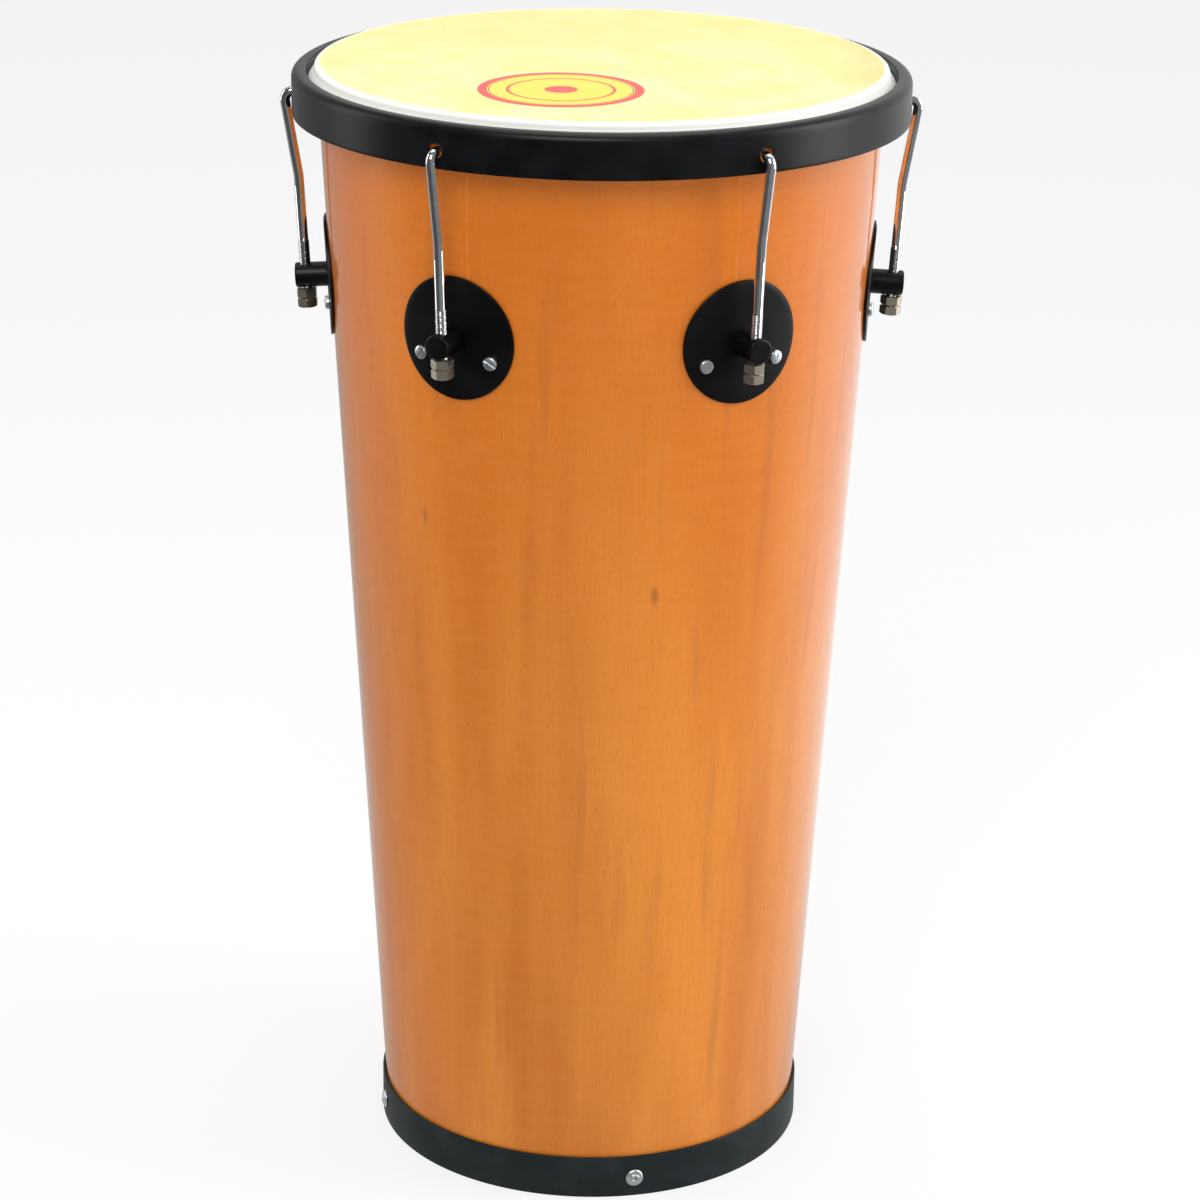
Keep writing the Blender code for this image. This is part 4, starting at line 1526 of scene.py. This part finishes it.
    def _hexagon(self, flats: float, bottom: float, top: float, both: bool) -> bpy.types.Mesh:
        """A hexagonal prism whose corners are turned off.

        Args:
            flats: size across the flats.
            bottom: lower end.
            top: upper end.
            both: whether the top is turned off as well as the bottom.

        Returns:
            The mesh.
        """
        corner = flats / 2 / math.cos(math.pi / 6)
        face = flats / 2 * self.sizes.nut_face
        drop = (corner - face) * math.tan(self.sizes.corner_slope)
        upper = [(face, top), (corner, top - drop)] if both else [(corner, top)]
        outline = [(0.0, top)] + upper + [(corner, bottom + drop), (face, bottom), (0.0, bottom)]
        cone = turned("turned_corners", outline, FASTENER_STEPS, False)
        return combined("hexagon", prism("hexagon", flats, bottom, top), [("INTERSECT", cone)])

    def _bolt(self) -> bpy.types.Mesh:
        """The bolt that holds a post from inside, with its washer."""
        size = self.sizes
        under = INNER_SEAT - size.washer_sheet
        tip = size.rod_standoff - self.rod_hole - size.bore_web - SEAT_GAP
        radius = size.bolt_radius
        washer = size.washer_radius
        end = under - size.shank_in_head
        outline = [
            (0.0, tip),
            (radius - size.bolt_tip, tip),
            (radius, tip - size.bolt_tip),
            (radius, INNER_SEAT),
            (washer - size.washer_edge, INNER_SEAT),
            (washer, INNER_SEAT - size.washer_edge),
            (washer, under),
            (radius, under),
            (radius, end),
            (0.0, end),
        ]
        shank = turned("bolt_pattern", outline, FASTENER_STEPS, False)
        top = under + size.bolt_head_overlap
        head = self._hexagon(size.bolt_head_flats, under - size.bolt_head_height, top, False)
        return combined("bolt_pattern", shank, [("UNION", head)])

    def _screw(self) -> bpy.types.Mesh:
        """A slotted pan-head screw with its nut inside the shell."""
        size = self.sizes
        radius = size.screw_head_radius
        rise = size.screw_head_rise
        crown = POST_BASE + rise
        nut_bottom = INNER_SEAT - size.screw_nut_height
        tip = nut_bottom - size.screw_tip
        # Pan head: a low dome that rounds over into an upright rim
        rim = POST_BASE + rise * size.pan_rim
        outline = [(0.0, crown)]
        outline += dome(radius, rim, crown - rim, size.pan_fullness, size.pan_angles)
        outline += [
            (radius, rim),
            (radius, POST_BASE),
            (size.screw_radius, POST_BASE),
            (size.screw_radius, tip + size.screw_tip_chamfer),
            (size.screw_radius - size.screw_tip_chamfer, tip),
            (0.0, tip),
        ]
        screw = turned("screw_pattern", outline, FASTENER_STEPS, False)
        bm = bmesh.new()
        box = Matrix.Diagonal((3 * radius, size.slot_width, 2 * size.slot_depth, 1.0))
        bmesh.ops.create_cube(bm, size=1.0, matrix=Matrix.Translation((0.0, 0.0, crown)) @ box)
        slot = mesh_from("slot", bm)
        nut = self._hexagon(size.screw_nut_flats, nut_bottom, INNER_SEAT, False)
        return combined("screw_pattern", screw, [("DIFFERENCE", slot), ("UNION", nut)])

    def _nut(self) -> bpy.types.Mesh:
        """A hexagonal nut that hangs from the origin, with turned corners and a countersunk bore."""
        size = self.sizes
        height = size.nut_height
        sink = size.nut_sink
        bore = self.rod_hole
        wide = bore + sink + CUT_PAST
        outline = [
            (0.0, CUT_PAST),
            (wide, CUT_PAST),
            (bore, -sink),
            (bore, sink - height),
            (wide, -height - CUT_PAST),
            (0.0, -height - CUT_PAST),
        ]
        tool = turned("nut_bore", outline, FASTENER_STEPS, False)
        body = self._hexagon(size.nut_flats, -height, 0.0, True)
        return combined("nut_pattern", body, [("DIFFERENCE", tool)])

    def _path(self) -> list[tuple[Vector, float]]:
        """Centre line of a hook.

        Returns:
            Pairs of a point as (radius, height) and the rod's radius there, from the tip up.
        """
        size = self.sizes
        along = Vector((math.sin(TAPER), math.cos(TAPER)))
        outward = Vector((math.cos(TAPER), -math.sin(TAPER)))
        on_shell = Vector((shell_radius(LUG_HEIGHT), LUG_HEIGHT))
        at_post = on_shell + outward * size.rod_standoff
        hook_height = FLESH_BOTTOM - size.hook_gap - size.rod_radius
        thread_end = size.post_radius + size.thread_shown
        above = hook_height - size.hook_bend - LUG_HEIGHT - thread_end
        dogleg = at_post + along * (thread_end + size.dogleg_share * above)
        widest = HOOP_OUTER_RADIUS + size.hook_standoff + size.rod_radius
        centre = Vector((widest - size.hook_bend, hook_height - size.hook_bend))
        to_centre = centre - dogleg
        lean = math.atan2(to_centre.y, to_centre.x)
        lean -= math.asin(size.hook_bend / to_centre.length)
        ease = size.dogleg_radius * math.tan((math.pi / 2 - TAPER - lean) / 2)
        tip = -(size.post_radius + 2 * SEAT_GAP + 2 * size.nut_height - size.tip_recess)
        threaded = thread_end - tip
        rows = round(threaded / size.thread_pitch * ROWS_PER_PITCH)
        tip_radius = size.thread_radius - size.tip_chamfer
        points = [(at_post + along * tip, tip_radius)]
        for i in range(rows + 1):
            run = i / rows * threaded
            radius = min(size.thread_radius, tip_radius + run)
            points.append((at_post + along * (tip + size.tip_edge + run), radius))
        points.append((at_post + along * (thread_end + size.thread_runout), size.rod_radius))
        bend_centre = dogleg - along * ease + outward * size.dogleg_radius
        start = math.pi - TAPER
        for i in range(ARC_STEPS + 1):
            angle = start + (lean + math.pi / 2 - start) * i / ARC_STEPS
            spoke = Vector((math.cos(angle), math.sin(angle)))
            points.append((bend_centre + spoke * size.dogleg_radius, size.rod_radius))
        for i in range(2 * ARC_STEPS + 1):
            angle = lean - math.pi / 2 + (math.pi - lean) * i / (2 * ARC_STEPS)
            spoke = Vector((math.cos(angle), math.sin(angle)))
            points.append((centre + spoke * size.hook_bend, size.rod_radius))
        end = HOOP_OUTER_RADIUS - HOOP_SHEET - size.hook_tongue
        tip_round = size.hook_tip_round
        for i in range(TIP_STEPS + 1):
            angle = math.radians(90 * i / TIP_STEPS)
            back = tip_round * (1 - math.sin(angle))
            point = Vector((end + back, hook_height))
            points.append((point, size.rod_radius - tip_round * (1 - math.cos(angle))))
        return points

    def _hook(self) -> bpy.types.Mesh:
        """The bent rod with its thread, in the lug's frame."""
        size = self.sizes
        path = self._path()
        to_lug = surface_frame(0.0, LUG_HEIGHT).inverted()
        to_rod = self.across.inverted()
        spots = [to_rod @ to_lug @ Vector((0.0, -p.x, p.y)) for p, _ in path]
        bm = bmesh.new()
        rings = []
        side = Vector((1.0, 0.0, 0.0))
        turns = [math.tau * k / FASTENER_STEPS for k in range(FASTENER_STEPS)]
        for i, (spot, (_, radius)) in enumerate(zip(spots, path)):
            ahead = (spots[min(i + 1, len(spots) - 1)] - spots[max(i - 1, 0)]).normalized()
            out = ahead.cross(side).normalized()
            spokes = [side * math.cos(a) + out * math.sin(a) for a in turns]
            rings.append([bm.verts.new(spot + radius * spoke) for spoke in spokes])
        for lower, upper in zip(rings, rings[1:]):
            for k in range(FASTENER_STEPS):
                j = (k + 1) % FASTENER_STEPS
                bm.faces.new((lower[k], lower[j], upper[j], upper[k]))
        bm.faces.new(rings[0][::-1])
        bm.faces.new(rings[-1])
        bmesh.ops.recalc_face_normals(bm, faces=bm.faces)
        rod = mesh_from("hook_pattern", bm, ROD_SHARP_ANGLE)
        values = {
            "Pitch": size.thread_pitch,
            "Depth": size.thread_depth,
            "Bottom": spots[0].z + size.thread_start,
            "Top": size.post_radius + size.thread_shown,
            "Reach": 2 * size.thread_radius,
            "Material": self.finishes.chrome,
        }
        return moved(CutThread().apply("hook_pattern", rod, values), self.across)


# Studio


@dataclass
class Camera:
    """The photograph's viewpoint."""

    place: tuple[float, float, float] = (0.0, -1.9297, 0.9885)
    focal_pixels: float = 3750.2
    frame_pixels: float = 1200.0
    sensor: float = 36.0
    pitch: float = 0.3414
    yaw: float = 0.0009
    roll: float = 0.0136
    offset_pixels: float = -1.7
    nearest: float = 0.05
    farthest: float = 60.0

    def build(self) -> None:
        """Makes the camera and sets it as the scene's."""
        data = bpy.data.cameras.new("camera")
        data.sensor_width = self.sensor
        data.lens = self.focal_pixels / self.frame_pixels * self.sensor
        data.shift_x = -self.offset_pixels / self.frame_pixels
        data.clip_start = self.nearest
        data.clip_end = self.farthest
        ahead = Vector((math.sin(self.yaw), math.cos(self.yaw), 0.0))
        forward = math.cos(self.pitch) * ahead - Vector((0.0, 0.0, math.sin(self.pitch)))
        level = Vector((math.cos(self.yaw), -math.sin(self.yaw), 0.0))
        upright = level.cross(forward)
        right = math.cos(self.roll) * level + math.sin(self.roll) * upright
        up = math.cos(self.roll) * upright - math.sin(self.roll) * level
        matrix = Matrix((right, up, -forward)).transposed().to_4x4()
        matrix.translation = Vector(self.place)
        obj = bpy.data.objects.new("camera", data)
        obj.matrix_world = matrix
        bpy.context.scene.collection.objects.link(obj)
        bpy.context.scene.camera = obj


@dataclass(frozen=True)
class Lamp:
    """A soft box: where it is, what it looks at, its size and its power."""

    name: str
    place: tuple[float, float, float]
    target: tuple[float, float, float]
    width: float
    height: float
    power: float

    def build(self) -> None:
        """Makes the lamp."""
        data = bpy.data.lights.new(self.name, "AREA")
        data.shape = "RECTANGLE"
        data.size = self.width
        data.size_y = self.height
        data.energy = self.power
        obj = bpy.data.objects.new(self.name, data)
        aim = Vector(self.target) - Vector(self.place)
        obj.rotation_euler = aim.to_track_quat("-Z", "Y").to_euler()
        obj.location = self.place
        bpy.context.scene.collection.objects.link(obj)


@dataclass
class Studio:
    """A white studio: pale floor, white world and soft boxes."""

    white: tuple[float, float, float, float] = (1.0, 1.0, 1.0, 1.0)
    floor_radius: float = 14.0
    floor_gap: float = 0.2 * MM
    floor_colour: str = "F4F4F4"
    floor_roughness: float = 0.9
    floor_specular: float = 0.1
    floor_glow: float = 0.75
    ambient: float = 0.55
    front_white: float = 0.2
    left_white: float = 0.38
    front_fade: tuple[float, float] = (-0.4, 0.5)
    left_fade: tuple[float, float] = (-0.6, 0.3)
    lamps: tuple[Lamp, ...] = (
        Lamp("key_box", (-0.5, -2.2, 2.3), (0.0, 0.0, 0.35), 1.4, 1.4, 36.0),
        Lamp("left_box", (-2.0, 0.35, 0.9), (0.0, 0.0, 0.35), 0.7, 1.8, 9.0),
        Lamp("right_box", (1.9, -0.2, 0.9), (0.0, 0.0, 0.35), 0.9, 1.8, 26.0),
        Lamp("top_box", (0.0, 0.4, 2.6), (0.0, 0.0, 0.5), 1.6, 1.6, 14.0),
    )

    def build(self) -> None:
        """Makes the studio."""
        for lamp in self.lamps:
            lamp.build()
        self._world()
        self._floor()

    def _seen_white(self, tree: bpy.types.NodeTree) -> bpy.types.NodeSocket:
        """1 for camera, glossy and transmission rays, and 0 for the rest."""
        path = add_node(tree, "ShaderNodeLightPath").outputs
        seen = math_node(tree, "MAXIMUM", path["Is Camera Ray"], path["Is Glossy Ray"])
        return math_node(tree, "MAXIMUM", seen, path["Is Transmission Ray"])

    def _sweep(self, tree: bpy.types.NodeTree, place: bpy.types.NodeSocket) -> bpy.types.NodeSocket:
        """How white the studio is in reflections: bright behind and on the right, dim in front.

        Args:
            tree: the node tree.
            place: a point on the floor, or a direction.

        Returns:
            The strength, at most 1.
        """
        axes = add_node(tree, "ShaderNodeSeparateXYZ", inputs={0: place}).outputs
        whites = []
        fades = (("Y", self.front_fade, self.front_white), ("X", self.left_fade, self.left_white))
        for axis, (start, end), dimmest in fades:
            ends = {"From Min": start, "From Max": end, "To Min": dimmest}
            whites.append(remap(tree, axes[axis], ends, smooth=True))
        return math_node(tree, "MULTIPLY", *whites)

    def _world(self) -> None:
        """White to look at, a sweep in reflections, and dimmer as light."""
        world = bpy.data.worlds.new("white_studio")
        world.use_nodes = True
        tree = world.node_tree
        path = add_node(tree, "ShaderNodeLightPath").outputs
        direction = add_node(tree, "ShaderNodeTexCoord").outputs["Generated"]
        ends = {"To Min": self.ambient, "To Max": self._sweep(tree, direction)}
        mirrored = remap(tree, self._seen_white(tree), ends)
        strength = remap(tree, path["Is Camera Ray"], {"To Min": mirrored})
        tree.links.new(strength, tree.nodes["Background"].inputs["Strength"])
        tree.nodes["Background"].inputs["Color"].default_value = self.white
        bpy.context.scene.world = world

    def _floor(self) -> None:
        """A plain pale floor that still takes the drum's shadow."""
        radius = self.floor_radius
        rim = [(0.0, -self.floor_gap), (radius, -self.floor_gap)]
        mesh = turned("floor", rim, PIECE_STEPS, False)
        mesh.flip_normals()
        material = bpy.data.materials.new("painted_studio_floor")
        material.use_nodes = True
        tree = material.node_tree
        shader = tree.nodes["Principled BSDF"]
        shader.inputs["Base Color"].default_value = linear(self.floor_colour)
        shader.inputs["Roughness"].default_value = self.floor_roughness
        shader.inputs["Specular IOR Level"].default_value = self.floor_specular
        path = add_node(tree, "ShaderNodeLightPath").outputs
        place = add_node(tree, "ShaderNodeTexCoord").outputs["Object"]
        camera = path["Is Camera Ray"]
        strength = remap(tree, camera, {"To Min": self._sweep(tree, place)})
        glow = add_node(
            tree,
            "ShaderNodeEmission",
            inputs={"Color": self.white, "Strength": strength},
        )
        ends = {"To Min": self._seen_white(tree), "To Max": self.floor_glow}
        share = remap(tree, camera, ends)
        mixed = add_node(
            tree,
            "ShaderNodeMixShader",
            inputs={0: share, 1: shader.outputs[0], 2: glow.outputs[0]},
        )
        tree.links.new(mixed.outputs[0], tree.nodes["Material Output"].inputs["Surface"])
        mesh.materials.append(material)
        floor = bpy.data.objects.new("floor", mesh)
        bpy.context.scene.collection.objects.link(floor)


def main() -> None:
    """Builds the drum's visible pieces and the studio."""
    logging.basicConfig(level=logging.INFO, format="%(name)s %(message)s")
    scene = bpy.context.scene
    scene.view_settings.view_transform = "Standard"
    head_sizes = HeadSizes()
    finishes = Finishes(head_sizes.label_centre, head_sizes.label_radius)
    lugs = Lugs(finishes, LugSizes())
    foot = Foot(finishes, FootSizes())
    holes = bmesh.new()
    for mesh in [*lugs.shell_holes(), foot.holes()]:
        holes.from_mesh(mesh)
    Shell(finishes, ShellSizes()).build(mesh_from("shell_holes", holes))
    Head(finishes, head_sizes).build()
    Hoops(finishes, HoopSizes()).build()
    foot.build()
    lugs.build()
    Camera().build()
    Studio().build()


COPIES = CopiesRound()

if __name__ == "__main__":
    main()
